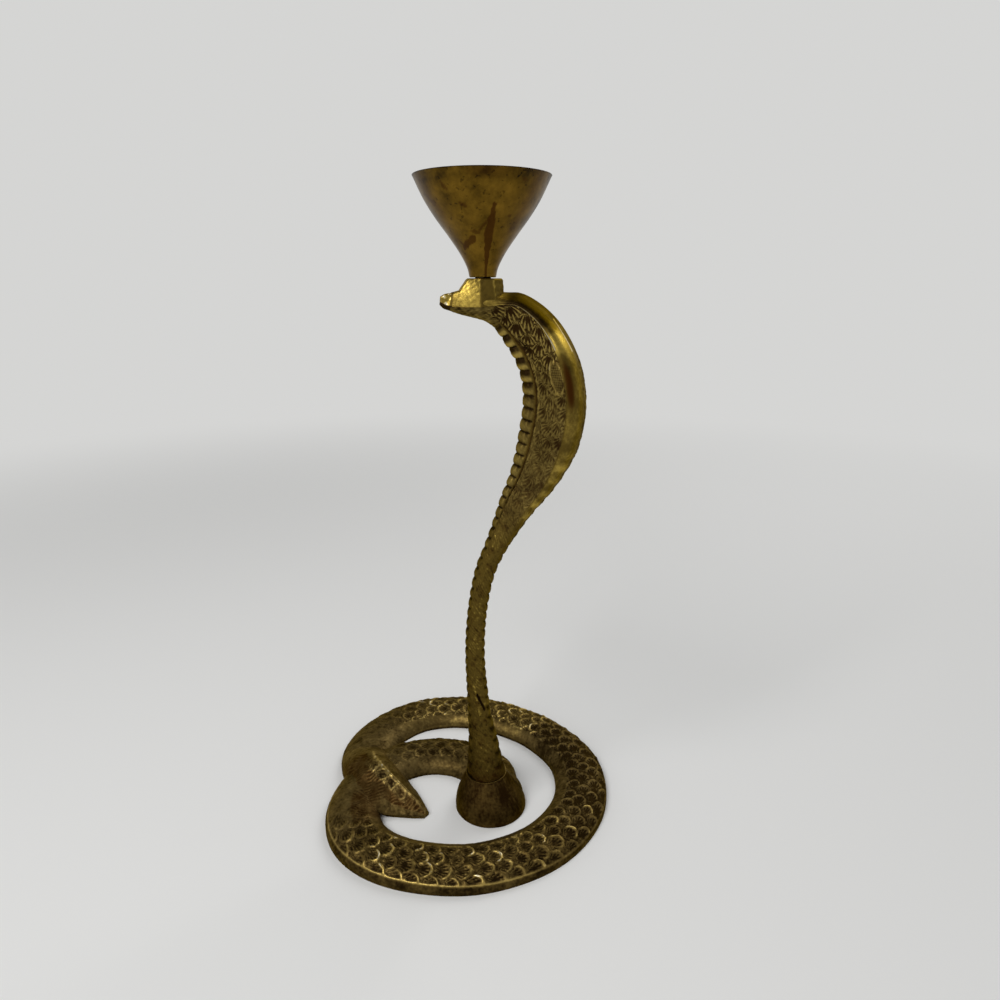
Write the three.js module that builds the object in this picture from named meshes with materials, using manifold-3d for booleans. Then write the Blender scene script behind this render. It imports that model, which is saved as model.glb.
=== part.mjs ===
// Cobra candle holder in cast and turned brass, in millimetres, +Z up.
// The origin is on the table, under the middle of the object's footprint.
// The cobra faces -X, so its plane of symmetry is parallel to XZ.
import * as THREE from 'three';
import { mergeVertices } from 'three/addons/utils/BufferGeometryUtils.js';
import Module from 'manifold-3d';

const wasm = await Module();
wasm.setup();

// Clearances
const FIT_GAP = 0.3; // between two pieces that touch
const BORE_GAP = 0.3; // on the radius, round a stud or a screw

// Coiled base: the middle of the coil's route in plan, from the bell's axis outward
const COIL_ROUTE = [
  [6.2, -4.5], [7.6, 1.2], [6.8, 6.9], [2.7, 18.7], [-9.3, 30.6], [-25.6, 35], [-42, 30.6], [-53.9, 18.7],
  [-59.3, 2.3], [-56.8, -12.2], [-48.3, -23.4], [-32.7, -32.3], [-9.4, -36.7],
  [17.7, -29.2], [37.2, -9.2], [42.8, 17.7], [33, 42.2], [21.6, 54.6], [7.6, 64.5],
  [-9.4, 69.7], [-27.8, 68.3], [-43.1, 59], [-50.4, 49.7], [-53.7, 39.5],
];
const COIL_SPLIT = 10; // the coil is joined from two lengths at this point of its route
const COIL = { crest: 7.4, inner: 11.4, outer: 11.4, full: 1 }; // height, reach, roundness
const COIL_STARTS = [ // the first points, where it swells into the bell
  { crest: 9, inner: 4.5, outer: 4.5, full: 1 },
  { crest: 12, inner: 6, outer: 7.2, full: 1 },
  { crest: 9.5, inner: 7, outer: 7, full: 1 },
];
const COIL_SKIRT = 1.6; // upright edge above the table
const COIL_STEPS = 5; // rings between two points of the route
const COIL_FACETS = 10; // across the dome of the coil
const DOME_SWELL = 1.4; // how far a full section bulges beyond a straight-sided ridge
const DOME_SHOULDER = 0.45; // and how far its shoulders square up

// Tail: the ridge goes on from the coil, climbs the coil's first turn and drops to a tip
const TAIL = [
  { at: [-52.4, 30], crest: 10.8, inner: 10.8, outer: 11.8, full: 1 },
  { at: [-47.6, 20.4], crest: 12.4, inner: 10.6, outer: 12.6, full: 0.6 },
  { at: [-42.6, 12.6], crest: 11.4, inner: 10, outer: 11.9, full: 0.25 },
  { at: [-37.4, 6.2], crest: 9, inner: 7.8, outer: 10.1, full: 0.15 },
  { at: [-32.4, 0.6], crest: 6.2, inner: 4.6, outer: 5.2, full: 0.15 },
  { at: [-28.4, -3.4], crest: 2.8, inner: 1.5, outer: 1.4, full: 0.3 },
];

// Bell-shaped socket at the coil's inner end
const BELL_RINGS = [
  { z: 0, radius: 15.2 },
  { z: 2.6, radius: 15.1 },
  { z: 6.2, radius: 14.1 },
  { z: 10, radius: 12.3 },
  { z: 13.8, radius: 10.2 },
];
const BELL_TOP_RADIUS = 8.3;
const BELL_HEIGHT = 17.3;
const STEM_AXIS_X = -2; // the stem stands this far from the bell's foot centre
const BELL_HOLLOW_RADIUS = 9.6;
const BELL_ROOF = 8.3; // metal left above the hollow
const BELL_SIDES = 32;
const CUT_BEYOND = 1; // a hole's cutter runs this far out of the face

// Cobra: stations from the foot to the snout, x and z of the front and of the
// back, the half width across, where the wing's edge lies from front to back,
// and how far the section has turned from a round stem (0) to a hood (1)
const STEM_LENGTH = 54.7; // from the foot to where the neck starts to sweep back
const STEM = [ // z from the foot
  { front: [-10, 0], back: [6.2, 0], half: 8.1, edge: 0.5, hood: 0 },
  { front: [-9.5, 8.7], back: [4.3, 8.7], half: 6.9, edge: 0.5, hood: 0 },
  { front: [-9.2, 17.3], back: [2.7, 17.3], half: 6, edge: 0.5, hood: 0 },
  { front: [-9.4, 28.7], back: [0.2, 28.7], half: 4.8, edge: 0.5, hood: 0 },
  { front: [-9.7, 40.7], back: [-1.2, 40.7], half: 4.3, edge: 0.5, hood: 0 },
];
const NECK_AND_HOOD = [ // z from the stem's upper end
  { front: [-10.1, 0], back: [-2.3, 0], half: 4, edge: 0.5, hood: 0 },
  { front: [-9.6, 14], back: [-1.9, 14], half: 3.9, edge: 0.5, hood: 0 },
  { front: [-7.9, 28], back: [-0.5, 26], half: 4, edge: 0.5, hood: 0 },
  { front: [-5.3, 40], back: [2.4, 37.7], half: 4.2, edge: 0.55, hood: 0.1 },
  { front: [-1.8, 49], back: [6.7, 46.5], half: 4.8, edge: 0.65, hood: 0.25 },
  { front: [1.5, 58.5], back: [11.5, 53.7], half: 6.2, edge: 0.65, hood: 0.55 },
  { front: [4.5, 68], back: [17, 61.1], half: 8.4, edge: 0.62, hood: 0.8 },
  { front: [7.8, 76.5], back: [23.7, 68.6], half: 11.2, edge: 0.58, hood: 1 },
  { front: [10, 85], back: [29.8, 77.3], half: 14.2, edge: 0.54, hood: 1 },
  { front: [11.6, 94], back: [34.2, 86], half: 16.6, edge: 0.51, hood: 1 },
  { front: [12.8, 103], back: [36.7, 98], half: 17.9, edge: 0.49, hood: 1 },
  { front: [12.6, 110], back: [36.3, 110], half: 18, edge: 0.49, hood: 1 },
  { front: [11.2, 116], back: [34, 119], half: 17.2, edge: 0.51, hood: 1 },
  { front: [9, 121], back: [30.2, 127], half: 15.4, edge: 0.55, hood: 1 },
  { front: [6.4, 125], back: [25.2, 134], half: 12.8, edge: 0.6, hood: 1 },
  { front: [3.8, 129], back: [18.5, 139.8], half: 10.2, edge: 0.65, hood: 0.9 },
  { front: [1.2, 132], back: [11.6, 143.2], half: 8.6, edge: 0.7, hood: 0.7 },
  { front: [-2, 133.8], back: [5.4, 143.4], half: 7.4, edge: 0.7, hood: 0.4 },
  { front: [-6, 134.9], back: [-2, 144.3], half: 6.6, edge: 0.6, hood: 0.1 },
  { front: [-10, 135.9], back: [-8.8, 144.3], half: 5.4, edge: 0.5, hood: 0 },
  { front: [-13.6, 137.1], back: [-12.6, 143.4], half: 4, edge: 0.5, hood: 0 },
  { front: [-16, 138], back: [-15.4, 143], half: 3, edge: 0.5, hood: 0 },
  { front: [-17.3, 139.2], back: [-17, 142.2], half: 1.9, edge: 0.5, hood: 0 },
];
const COBRA_STEPS = 84;
// Half of the hood's section, as shares of its depth and of its half width
const RIBS = { depth: 0.16, width: 0.26 }; // the raised belly ribs
const RIB_CROWN = { depth: 0.05, width: 0.195 }; // their rounded front
const WING_FACE_BULGE = 0.04; // the face between the ribs and the wing's edge
const BAND_BULGE = 0.97; // the smooth side band at its middle
const BAND_END = { depth: 0.83, width: 0.7 }; // where the band meets the back

// Boss on the head that carries the cup: eight-sided rings, measured from its top
const BOSS_RINGS = [
  { down: 9.6, front: -13, back: 5.4, half: 5.2 },
  { down: 4.8, front: -10.9, back: 5, half: 6 },
  { down: 2.4, front: -9.2, back: 5, half: 6.1 },
  { down: 0.6, front: -7.9, back: 4.8, half: 6 },
  { down: 0, front: -7.2, back: 4.3, half: 5.5 },
];
const BOSS_CORNER = 0.6; // share of the half width that each corner cuts off
const BOSS_CHEEK_X = -3.7; // where the side faces meet the faces that run down the forehead
const BOSS_RISE = 3.85; // the boss's top stands this far above the top of the head

// Candle cup: outer profile from the neck's foot to the rim
const CUP_PROFILE = [
  [4.65, 0],
  [5.35, 3],
  [7.75, 7.7],
  [11.85, 13.6],
  [16.2, 19.4],
  [19.85, 25.1],
  [23.6, 32.75],
];
const CUP_WALL = 1.5;
const CUP_FLOOR = 10; // height of the seat for the candle, above the neck's foot
const CUP_SIDES = 48;
const CUP_RISERS = 12; // rings up the wall

// Stud between the boss and the cup
const STUD_RADIUS = 3;
const STUD_IN_BOSS = 6;
const STUD_IN_CUP = 5;

// Screw and washer that hold the cobra on the bell
const SCREW_RADIUS = 3;
const SCREW_IN_STEM = 12;
const SCREW_HEAD_RADIUS = 5.2;
const SCREW_HEAD_HEIGHT = 3.2;
const SCREW_CROWN = { radius: 4.2, height: 1.1 }; // flat end and depth of the head's rounding
const SCREW_SLOT = { width: 1.4, depth: 1.5 };
const WASHER_RADIUS = 7.2;
const WASHER_THICKNESS = 1.2;
const ROUND_SIDES = 28;

// Finishes
const agedBrass = (color, roughness) =>
  new THREE.MeshStandardMaterial({ color, roughness, metalness: 1 });
const COIL_BRASS = agedBrass(0x6b5420, 0.5);
const BODY_BRASS = agedBrass(0x9c7a34, 0.42);
const CUP_BRASS = agedBrass(0xa87a22, 0.3);
const FIXING_STEEL = agedBrass(0x8c8a84, 0.4);

// The cobra's stations from the foot to the snout
const raised = ([x, z]) => [x, z + STEM_LENGTH];
const COBRA = STEM.concat(NECK_AND_HOOD.map((s) => (
  { ...s, front: raised(s.front), back: raised(s.back) })));

// Heights where the pieces meet
const HOLLOW_TOP = BELL_HEIGHT - BELL_ROOF;
const STEM_FOOT = BELL_HEIGHT + FIT_GAP;
const HEAD_TOP = Math.max(...COBRA.map((s) => s.back[1]));
const BOSS_TOP = STEM_FOOT + HEAD_TOP + BOSS_RISE;
const CUP_FOOT = BOSS_TOP + FIT_GAP;

const lerp = THREE.MathUtils.lerp;
const smooth = (t) => THREE.MathUtils.smoothstep(t, 0, 1);

// A closed skin over rings of points, with a flat fan on each end
function loft(rings) {
  const count = rings[0].length;
  const points = rings.flat();
  const index = [];
  for (let r = 0; r + 1 < rings.length; r += 1) {
    for (let i = 0; i < count; i += 1) {
      const a = r * count + i;
      const b = r * count + ((i + 1) % count);
      index.push(a, b, b + count, a, b + count, a + count);
    }
  }
  for (const end of [0, rings.length - 1]) {
    const middle = new THREE.Vector3();
    rings[end].forEach((p) => middle.addScaledVector(p, 1 / count));
    points.push(middle);
    for (let i = 0; i < count; i += 1) {
      const a = end * count + i;
      const b = end * count + ((i + 1) % count);
      index.push(...(end === 0 ? [b, a, points.length - 1] : [a, b, points.length - 1]));
    }
  }
  const geometry = new THREE.BufferGeometry().setFromPoints(points);
  geometry.setIndex(index);
  return geometry;
}

function solidOf(geometry) {
  const bare = geometry.clone();
  bare.deleteAttribute('normal');
  bare.deleteAttribute('uv');
  const merged = mergeVertices(bare, 1e-5);
  return new wasm.Manifold(new wasm.Mesh({
    numProp: 3,
    vertProperties: new Float32Array(merged.attributes.position.array),
    triVerts: new Uint32Array(merged.index.array),
  }));
}

function geometryOf(solid) {
  const mesh = solid.getMesh();
  const geometry = new THREE.BufferGeometry();
  geometry.setAttribute('position', new THREE.BufferAttribute(mesh.vertProperties, 3));
  geometry.setIndex(new THREE.BufferAttribute(mesh.triVerts, 1));
  return geometry;
}

// An upright round solid turned from a profile of [radius, z], from axis to axis
function turned(profile, sides = ROUND_SIDES) {
  const points = profile.map(([r, z]) => new THREE.Vector2(r, z));
  return new THREE.LatheGeometry(points, sides).rotateX(Math.PI / 2);
}

function rod(radius, bottom, top) {
  return turned([[0, bottom], [radius, bottom], [radius, top], [0, top]]);
}

// One ring of the coil: flat below, upright skirts, and a dome or a ridge above.
// The lower the fullness, the more the dome turns into a straight-sided ridge.
function coilRing(at, heading, inner, outer, height, fullness) {
  const right = new THREE.Vector3(heading.y, -heading.x, 0).normalize();
  const skirt = Math.min(COIL_SKIRT, height / 2);
  const ring = [];
  for (let i = 0; i <= COIL_FACETS; i += 1) {
    const across = -Math.cos((Math.PI * i) / COIL_FACETS);
    const reach = across < 0 ? inner : outer;
    const dome = (1 - Math.abs(across) ** (1 + DOME_SWELL * fullness))
      ** (1 - DOME_SHOULDER * fullness);
    const point = at.clone().addScaledVector(right, across * reach);
    point.z = skirt + (height - skirt) * dome;
    ring.push(point);
  }
  const foot = (across) => at.clone().addScaledVector(right, across).setZ(0);
  ring.push(foot(outer), foot(0), foot(-inner));
  return ring;
}

function coiledBase() {
  const stations = COIL_ROUTE.map((at, i) => ({ at, ...(COIL_STARTS[i] ?? COIL) })).concat(TAIL);
  const last = stations.length - 1;
  const route = new THREE.CatmullRomCurve3(stations.map((s) => new THREE.Vector3(...s.at, 0)));
  const length = (from, to) => {
    const rings = [];
    for (let i = from * COIL_STEPS; i <= to * COIL_STEPS; i += 1) {
      const t = i / COIL_STEPS;
      const k = Math.min(Math.floor(t), last - 1);
      const size = (key) => lerp(stations[k][key], stations[k + 1][key], t - k);
      rings.push(coilRing(route.getPoint(t / last), route.getTangent(t / last),
        size('inner'), size('outer'), size('crest'), size('full')));
    }
    return solidOf(loft(rings));
  };
  const coil = length(0, COIL_SPLIT).add(length(COIL_SPLIT, last));

  const bellRings = BELL_RINGS.concat({ z: BELL_HEIGHT, radius: BELL_TOP_RADIUS });
  const bell = loft(bellRings.map(({ z, radius }) => {
    const shift = STEM_AXIS_X * smooth(z / BELL_HEIGHT);
    return Array.from({ length: BELL_SIDES }, (_, i) => {
      const turn = (2 * Math.PI * i) / BELL_SIDES;
      return new THREE.Vector3(shift + radius * Math.cos(turn), radius * Math.sin(turn), z);
    });
  }));
  const hollow = rod(BELL_HOLLOW_RADIUS, -CUT_BEYOND, HOLLOW_TOP).translate(STEM_AXIS_X, 0, 0);
  const hole = rod(SCREW_RADIUS + BORE_GAP, 0, BELL_HEIGHT + CUT_BEYOND).translate(STEM_AXIS_X, 0, 0);
  return geometryOf(coil.add(solidOf(bell)).subtract(solidOf(hollow)).subtract(solidOf(hole)));
}

// Half of the hood's outline, from the belly ribs round the wing to the back
function hoodOutline(edge) {
  return [
    [0, 0],
    [RIB_CROWN.depth, RIB_CROWN.width],
    [RIBS.depth, RIBS.width],
    [(RIBS.depth + edge) / 2, (RIBS.width + 1) / 2 + WING_FACE_BULGE],
    [edge, 1],
    [(edge + BAND_END.depth) / 2, BAND_BULGE],
    [BAND_END.depth, BAND_END.width],
    [(BAND_END.depth + 1) / 2, BAND_END.width / 2],
    [1, 0],
  ];
}

function cobraRing(front, back, half, edge, hood) {
  const outline = hoodOutline(edge);
  const last = outline.length - 1;
  const ring = [];
  for (let i = 0; i < 2 * last; i += 1) {
    const side = i <= last ? -1 : 1;
    const k = i <= last ? i : 2 * last - i;
    const turn = (Math.PI * k) / last;
    const depth = lerp((1 - Math.cos(turn)) / 2, outline[k][0], hood);
    const across = lerp(Math.sin(turn), outline[k][1], hood);
    const point = front.clone().lerp(back, depth);
    point.y = side * across * half;
    ring.push(point);
  }
  return ring;
}

function cobraBody() {
  const place = ([x, z]) => new THREE.Vector3(x, 0, STEM_FOOT + z);
  const fronts = new THREE.CatmullRomCurve3(COBRA.map((s) => place(s.front)));
  const backs = new THREE.CatmullRomCurve3(COBRA.map((s) => place(s.back)));
  const shapes = new THREE.CatmullRomCurve3(
    COBRA.map((s) => new THREE.Vector3(s.half, s.edge, s.hood)),
  );
  const rings = [];
  for (let i = 0; i <= COBRA_STEPS; i += 1) {
    const t = i / COBRA_STEPS;
    const shape = shapes.getPoint(t);
    rings.push(cobraRing(fronts.getPoint(t), backs.getPoint(t), shape.x, shape.y,
      THREE.MathUtils.clamp(shape.z, 0, 1)));
  }
  const snake = loft(rings);

  const boss = loft(BOSS_RINGS.map(({ down, front, back, half }) => {
    const cut = BOSS_CORNER * half;
    const corners = [
      [BOSS_CHEEK_X, -half], [back - cut, -half], [back, cut - half], [back, half - cut],
      [back - cut, half], [BOSS_CHEEK_X, half], [front, half - cut], [front, cut - half],
    ];
    return corners.map(([x, y]) => new THREE.Vector3(x, y, BOSS_TOP - down));
  }));
  const studHole = rod(STUD_RADIUS + BORE_GAP, BOSS_TOP - STUD_IN_BOSS - FIT_GAP,
    BOSS_TOP + CUT_BEYOND).translate(STEM_AXIS_X, 0, 0);
  const screwHole = rod(SCREW_RADIUS + BORE_GAP, STEM_FOOT - CUT_BEYOND,
    STEM_FOOT + SCREW_IN_STEM + FIT_GAP).translate(STEM_AXIS_X, 0, 0);
  return geometryOf(solidOf(snake).add(solidOf(boss))
    .subtract(solidOf(studHole)).subtract(solidOf(screwHole)));
}

function candleCup() {
  const outer = new THREE.SplineCurve(CUP_PROFILE.map(([r, z]) => new THREE.Vector2(r, z)));
  const wall = outer.getPoints(CUP_RISERS).map((p) => [p.x, p.y]);
  const rim = wall.at(-1);
  const inside = wall.filter(([, z]) => z > CUP_FLOOR).reverse().slice(1);
  const seat = inside.at(-1)[0] - CUP_WALL;
  const profile = [
    [0, STUD_IN_CUP + FIT_GAP],
    [STUD_RADIUS + BORE_GAP, STUD_IN_CUP + FIT_GAP],
    [STUD_RADIUS + BORE_GAP, 0],
    ...wall,
    [rim[0] - CUP_WALL, rim[1]],
    ...inside.map(([r, z]) => [r - CUP_WALL, z]),
    [seat, CUP_FLOOR],
    [0, CUP_FLOOR],
  ];
  return turned(profile, CUP_SIDES);
}

function baseScrew() {
  const headTop = HOLLOW_TOP - 2 * FIT_GAP - WASHER_THICKNESS;
  const headBottom = headTop - SCREW_HEAD_HEIGHT;
  const tip = STEM_FOOT + SCREW_IN_STEM;
  const shape = turned([
    [0, headBottom],
    [SCREW_CROWN.radius, headBottom],
    [SCREW_HEAD_RADIUS, headBottom + SCREW_CROWN.height],
    [SCREW_HEAD_RADIUS, headTop],
    [SCREW_RADIUS, headTop],
    [SCREW_RADIUS, tip],
    [0, tip],
  ]);
  const slotLength = 2 * (SCREW_HEAD_RADIUS + CUT_BEYOND);
  const slot = new THREE.BoxGeometry(slotLength, SCREW_SLOT.width, 2 * SCREW_SLOT.depth)
    .translate(0, 0, headBottom);
  return geometryOf(solidOf(shape).subtract(solidOf(slot))).translate(STEM_AXIS_X, 0, 0);
}

function screwWasher() {
  const top = HOLLOW_TOP - FIT_GAP;
  const bottom = top - WASHER_THICKNESS;
  const bore = SCREW_RADIUS + BORE_GAP;
  return turned([[bore, bottom], [WASHER_RADIUS, bottom], [WASHER_RADIUS, top], [bore, top],
    [bore, bottom]]).translate(STEM_AXIS_X, 0, 0);
}

function cupStud() {
  return rod(STUD_RADIUS, BOSS_TOP - STUD_IN_BOSS, CUP_FOOT + STUD_IN_CUP)
    .translate(STEM_AXIS_X, 0, 0);
}

const holder = new THREE.Group();
const add = (name, geometry, material, z = 0, x = 0) => {
  const mesh = new THREE.Mesh(geometry, material);
  mesh.name = name;
  mesh.position.set(x, 0, z);
  holder.add(mesh);
  return mesh;
};

const base = add('coiled_base', coiledBase(), COIL_BRASS);
add('cobra_body', cobraBody(), BODY_BRASS);
add('candle_cup', candleCup(), CUP_BRASS, CUP_FOOT, STEM_AXIS_X);
add('cup_stud', cupStud(), CUP_BRASS);
add('base_screw', baseScrew(), FIXING_STEEL);
add('screw_washer', screwWasher(), FIXING_STEEL);

// The footprint's middle goes to the origin
const footprint = new THREE.Box3().setFromObject(base).getCenter(new THREE.Vector3());
holder.position.set(-footprint.x, -footprint.y, 0);
holder.updateMatrixWorld(true);

export default holder;
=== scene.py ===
"""Cobra candle holder in aged brass: the looks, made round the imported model."""

import math
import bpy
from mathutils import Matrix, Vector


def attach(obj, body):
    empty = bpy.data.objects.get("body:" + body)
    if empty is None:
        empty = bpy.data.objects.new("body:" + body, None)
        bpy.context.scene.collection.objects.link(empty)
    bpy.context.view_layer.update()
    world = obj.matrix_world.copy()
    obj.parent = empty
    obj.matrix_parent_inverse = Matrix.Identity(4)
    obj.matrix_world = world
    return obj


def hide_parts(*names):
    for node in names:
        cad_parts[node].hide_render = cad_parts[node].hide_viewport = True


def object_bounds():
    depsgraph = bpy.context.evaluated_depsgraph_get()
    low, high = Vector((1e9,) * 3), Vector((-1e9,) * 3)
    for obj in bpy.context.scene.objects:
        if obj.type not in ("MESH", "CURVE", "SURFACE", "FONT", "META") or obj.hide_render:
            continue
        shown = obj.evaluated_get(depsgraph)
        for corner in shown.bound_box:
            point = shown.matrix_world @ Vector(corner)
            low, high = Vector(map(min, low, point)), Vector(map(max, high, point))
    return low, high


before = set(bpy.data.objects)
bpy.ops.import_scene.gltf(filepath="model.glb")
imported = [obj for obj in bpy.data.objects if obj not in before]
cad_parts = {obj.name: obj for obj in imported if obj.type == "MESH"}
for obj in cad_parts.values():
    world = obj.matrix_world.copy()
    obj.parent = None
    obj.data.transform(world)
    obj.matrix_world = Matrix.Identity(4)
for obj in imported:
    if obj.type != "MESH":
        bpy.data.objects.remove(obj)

from types import SimpleNamespace

import bpy
import numpy as np

CAD_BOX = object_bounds()

bl_info = {
    "name": "Cobra candle holder",
    "version": (1, 0, 0),
    "blender": (4, 5, 0),
    "location": "3D View > Sidebar > Cobra",
    "description": "Scaled coil, hooded cobra, candle cup and fixings of a brass candle holder",
    "category": "Object",
}

# Lengths below are in millimetres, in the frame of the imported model
MM = 0.001
BASE_SHIFT = np.array([8.2286, -16.6607, 0.0])  # the bell's foot centre in that frame
FIT_GAP = 0.3
BELL_HEIGHT = 17.3
STEM_FOOT = BELL_HEIGHT + FIT_GAP
STEM_AXIS_X = -2.0
BOSS_TOP = 220.45
CUP_FOOT = BOSS_TOP + FIT_GAP
MIRROR = np.array([1, -1, 1])
BARE = 0.3  # height of the ground between scales, where a scale's own runs from 0 to 1

# Route of the coil from the bell outward, x and y from the bell's axis
COIL_ROUTE = [
    (6.2, -4.5), (7.6, 1.2), (6.8, 6.9), (2.7, 18.7), (-9.3, 30.6), (-25.6, 35),
    (-42, 30.6), (-53.9, 18.7), (-59.3, 2.3), (-56.8, -12.2), (-48.3, -23.4),
    (-32.7, -32.3), (-9.4, -36.7), (17.7, -29.2), (37.2, -9.2), (42.8, 17.7),
    (33, 42.2), (21.6, 54.6), (7.6, 64.5), (-9.4, 69.7), (-27.8, 68.3), (-43.1, 59),
    (-50.4, 49.7), (-53.7, 39.5), (-52.4, 30), (-47.6, 20.4), (-42.6, 12.6),
    (-37.4, 6.2), (-32.4, 0.6), (-28.4, -3.4),
]
# Height of the crest, reach to the inner and the outer side, roundness; per station
COIL_PLAIN = (7.4, 11.4, 11.4, 1.0)
COIL_SIZES = [(9, 4.5, 4.5, 1.0), (12, 6, 7.2, 1.0), (9.5, 7, 7, 1.0)] + [COIL_PLAIN] * 21 + [
    (10.8, 10.8, 11.8, 1.0), (12.4, 10.6, 12.6, 0.6), (11.4, 10, 11.9, 0.25),
    (9, 7.8, 10.1, 0.15), (6.2, 4.6, 5.2, 0.15), (2.8, 1.5, 1.4, 0.3),
]
COIL_CUTS = (8, 22.3)
COIL_SKIRT = 1.6
DOME_SWELL = 1.4
DOME_SHOULDER = 0.45

# Values along the coil as (station, value) pairs. Tail: extra reach, height of the outer face
TAIL_REACH = [(24.4, 0), (25, 2.2), (25.7, 2.2), (26.4, 3.6), (26.8, 3.2), (27.1, 2.2),
              (27.6, 0)]
TAIL_FACE = [(24.2, 1.6), (24.9, 6.6), (25.7, 6.8), (26.4, 6.2), (26.8, 4.4), (27.1, 2.6),
             (27.5, 1.6)]
# Scales: how deep they are cut, and how bright their rims are: rubbed, and along the back
# (16.6 to 19.8) brighter still as a painted highlight
SCALE_DEPTH = [(2, 0), (2.8, 0.6), (5.6, 0.6), (6.6, 0.12), (8.2, 0.15), (9.2, 0.8),
               (10.3, 1), (19.8, 0.95), (20.8, 0.5), (21.6, 0.1), (29, 0.1)]
SCALE_RUB_AND_HIGHLIGHT = [(2, 0.4), (4, 0.65), (6, 0.6), (8, 0.4), (9.5, 0.9), (12.3, 1), (13.6, 0.75),
             (14.4, 0.35), (15.6, 0.35), (16.6, 0.95), (19.8, 0.9), (21, 0.3), (29, 0.3)]
# Brightness and greyness of the ground: uneven tone, with painted shade, darker and greyer,
# along the right side (13.8 to 15.6) and a painted highlight along the back (16.4 to 20)
COIL_TONE_AND_LIGHT = [(2, -0.08), (4.6, -0.02), (5.6, 0.04), (6.5, 0.08), (9.2, 0.06), (13, 0.05),
             (13.8, -0.1), (15.6, -0.08), (16.4, 0.18), (20, 0.16), (21, 0.03)]
COIL_GREY = [(4, 0.3), (6.5, 0.6), (8.5, 0.6), (9.5, 0.15), (13, 0.15), (14, 0.6),
             (15.6, 0.6), (16.6, 0.1), (20.4, 0.2), (21.2, 0.6), (23.8, 0.6), (24.6, 0.35)]
# Lines along the coil, by their distance outward from its crest: the lip, the inner end of
# the scales, the tail's ridge, and the plain rim along the tail's outer edge
LIP_LINE = [(10, 11), (12, 11.7), (13.2, 12.4), (20, 12.4)]
LOW_LINE = [(14, -6), (16, -7.8), (20, -7.8), (21, -6)]
RIDGE_LINE = [(23.8, -2.6), (24.9, -0.4), (25.5, 0)]
EDGE_FROM = [(26.3, 9.5), (27, 8.2), (28, 4.6), (29, 1)]
EDGE_TO = [(26.3, 10), (27, 8.8), (28, 5.2), (29, 1.6)]
# Where the tail has its plain rim, the painted highlight along its ridge, and its fans
EDGE_SHARE = [(26.3, 0), (26.8, 1), (28.6, 1)]
RIDGE_HIGHLIGHT_SHARE = [(23.8, 0.1), (24.6, 0.7), (26.2, 0.7), (27.2, 0.35), (28.8, 0.15)]
FAN_SHARE = [(24.4, 0), (24.9, 1), (26.4, 1), (27.2, 0.5), (28.2, 0)]
TAIL_FAN = (6.4, 5.2, 17, 0.9)  # spacing along and across, rays, height of the rim

BELL_PROFILE = [(15.2, 0), (15.1, 2.6), (14.1, 6.2), (12.3, 10), (10.2, 13.8), (8.3, 17.3)]
BELL_LIP = [(8.45, 17.0), (8.75, 17.25), (8.7, 17.55), (8.4, 17.62), (8.15, 17.5), (8, 17.3)]
BELL_HOLLOW = (9.6, 9.0)  # radius, height
BORE_RADIUS = 3.3

# Stations of the cobra: x, z of the front, x, z of the back, half width, edge's depth, hood
COBRA = [
    (-10, 0, 6.2, 0, 8.1, 0.5, 0), (-9.5, 8.7, 4.3, 8.7, 6.9, 0.5, 0),
    (-9.2, 17.3, 2.7, 17.3, 6, 0.5, 0), (-9.4, 28.7, 0.2, 28.7, 4.8, 0.5, 0),
    (-9.7, 40.7, -1.2, 40.7, 4.3, 0.5, 0), (-10.1, 54.7, -2.3, 54.7, 4, 0.5, 0),
    (-9.6, 68.7, -1.9, 68.7, 3.9, 0.5, 0), (-7.9, 82.7, -0.5, 80.7, 4, 0.5, 0),
    (-5.3, 94.7, 2.4, 92.4, 4.2, 0.55, 0.1), (-1.8, 103.7, 6.7, 101.2, 4.8, 0.65, 0.25),
    (1.5, 113.2, 11.5, 108.4, 6.2, 0.65, 0.55), (4.5, 122.7, 17, 115.8, 8.4, 0.62, 0.8),
    (7.8, 131.2, 23.7, 123.3, 11.2, 0.58, 1), (10, 139.7, 29.8, 132, 14.2, 0.54, 1),
    (11.6, 148.7, 34.2, 140.7, 16.6, 0.51, 1), (12.8, 157.7, 36.7, 152.7, 17.9, 0.49, 1),
    (12.6, 164.7, 36.3, 164.7, 18, 0.49, 1), (11.2, 170.7, 34, 173.7, 17.2, 0.51, 1),
    (9, 175.7, 30.2, 181.7, 15.4, 0.55, 1), (6.4, 179.7, 25.2, 188.7, 12.8, 0.6, 1),
    (3.8, 183.7, 18.5, 194.5, 10.2, 0.65, 0.9), (1.2, 186.7, 11.6, 197.9, 8.6, 0.7, 0.7),
    (-2, 188.5, 5.4, 198.1, 7.4, 0.7, 0.4), (-6, 189.6, -2, 199, 6.6, 0.6, 0.1),
    (-10, 190.6, -8.8, 199, 5.4, 0.5, 0), (-13.6, 191.8, -12.6, 198.1, 4, 0.5, 0),
    (-16, 192.7, -15.4, 197.7, 3, 0.5, 0), (-17.3, 193.9, -17, 196.9, 1.9, 0.5, 0),
]
COBRA_CUTS = (9.5,)
COBRA_STEP = 0.36
HALF_RING = 108
# Share of the half ring's points, and the share of its outline they have reached
RING_SPACING = [(0, 0), (0.16, 0.24), (0.6, 0.485), (0.66, 0.52), (0.78, 0.74), (1, 1)]
# Values along the cobra as (station, value) pairs
RIB_EDGE = [(9, 0.2), (12, 0.25)]
RIB_SPACING = [(0, 1.5), (1.5, 1.4), (4, 1), (12, 1), (20, 1.05)]
JAW_DEPTH = [(20.8, 0.72), (21.5, 0.52), (22.5, 0.40), (24, 0.30), (25, 0.24), (25.6, 0.22),
             (27, 0.28)]
SNOUT_WIDTH = [(25.0, 9), (25.2, 2.7), (26, 2.3), (27, 1.5)]
FACE_TILT = math.radians(28)
FACE_SCALES = (20, 0.45)  # rays, height of the rim
BACK_SCALES = (5.2, 4.0, 12, 0.9)  # spacing along and across, rays, height of the rim
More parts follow.
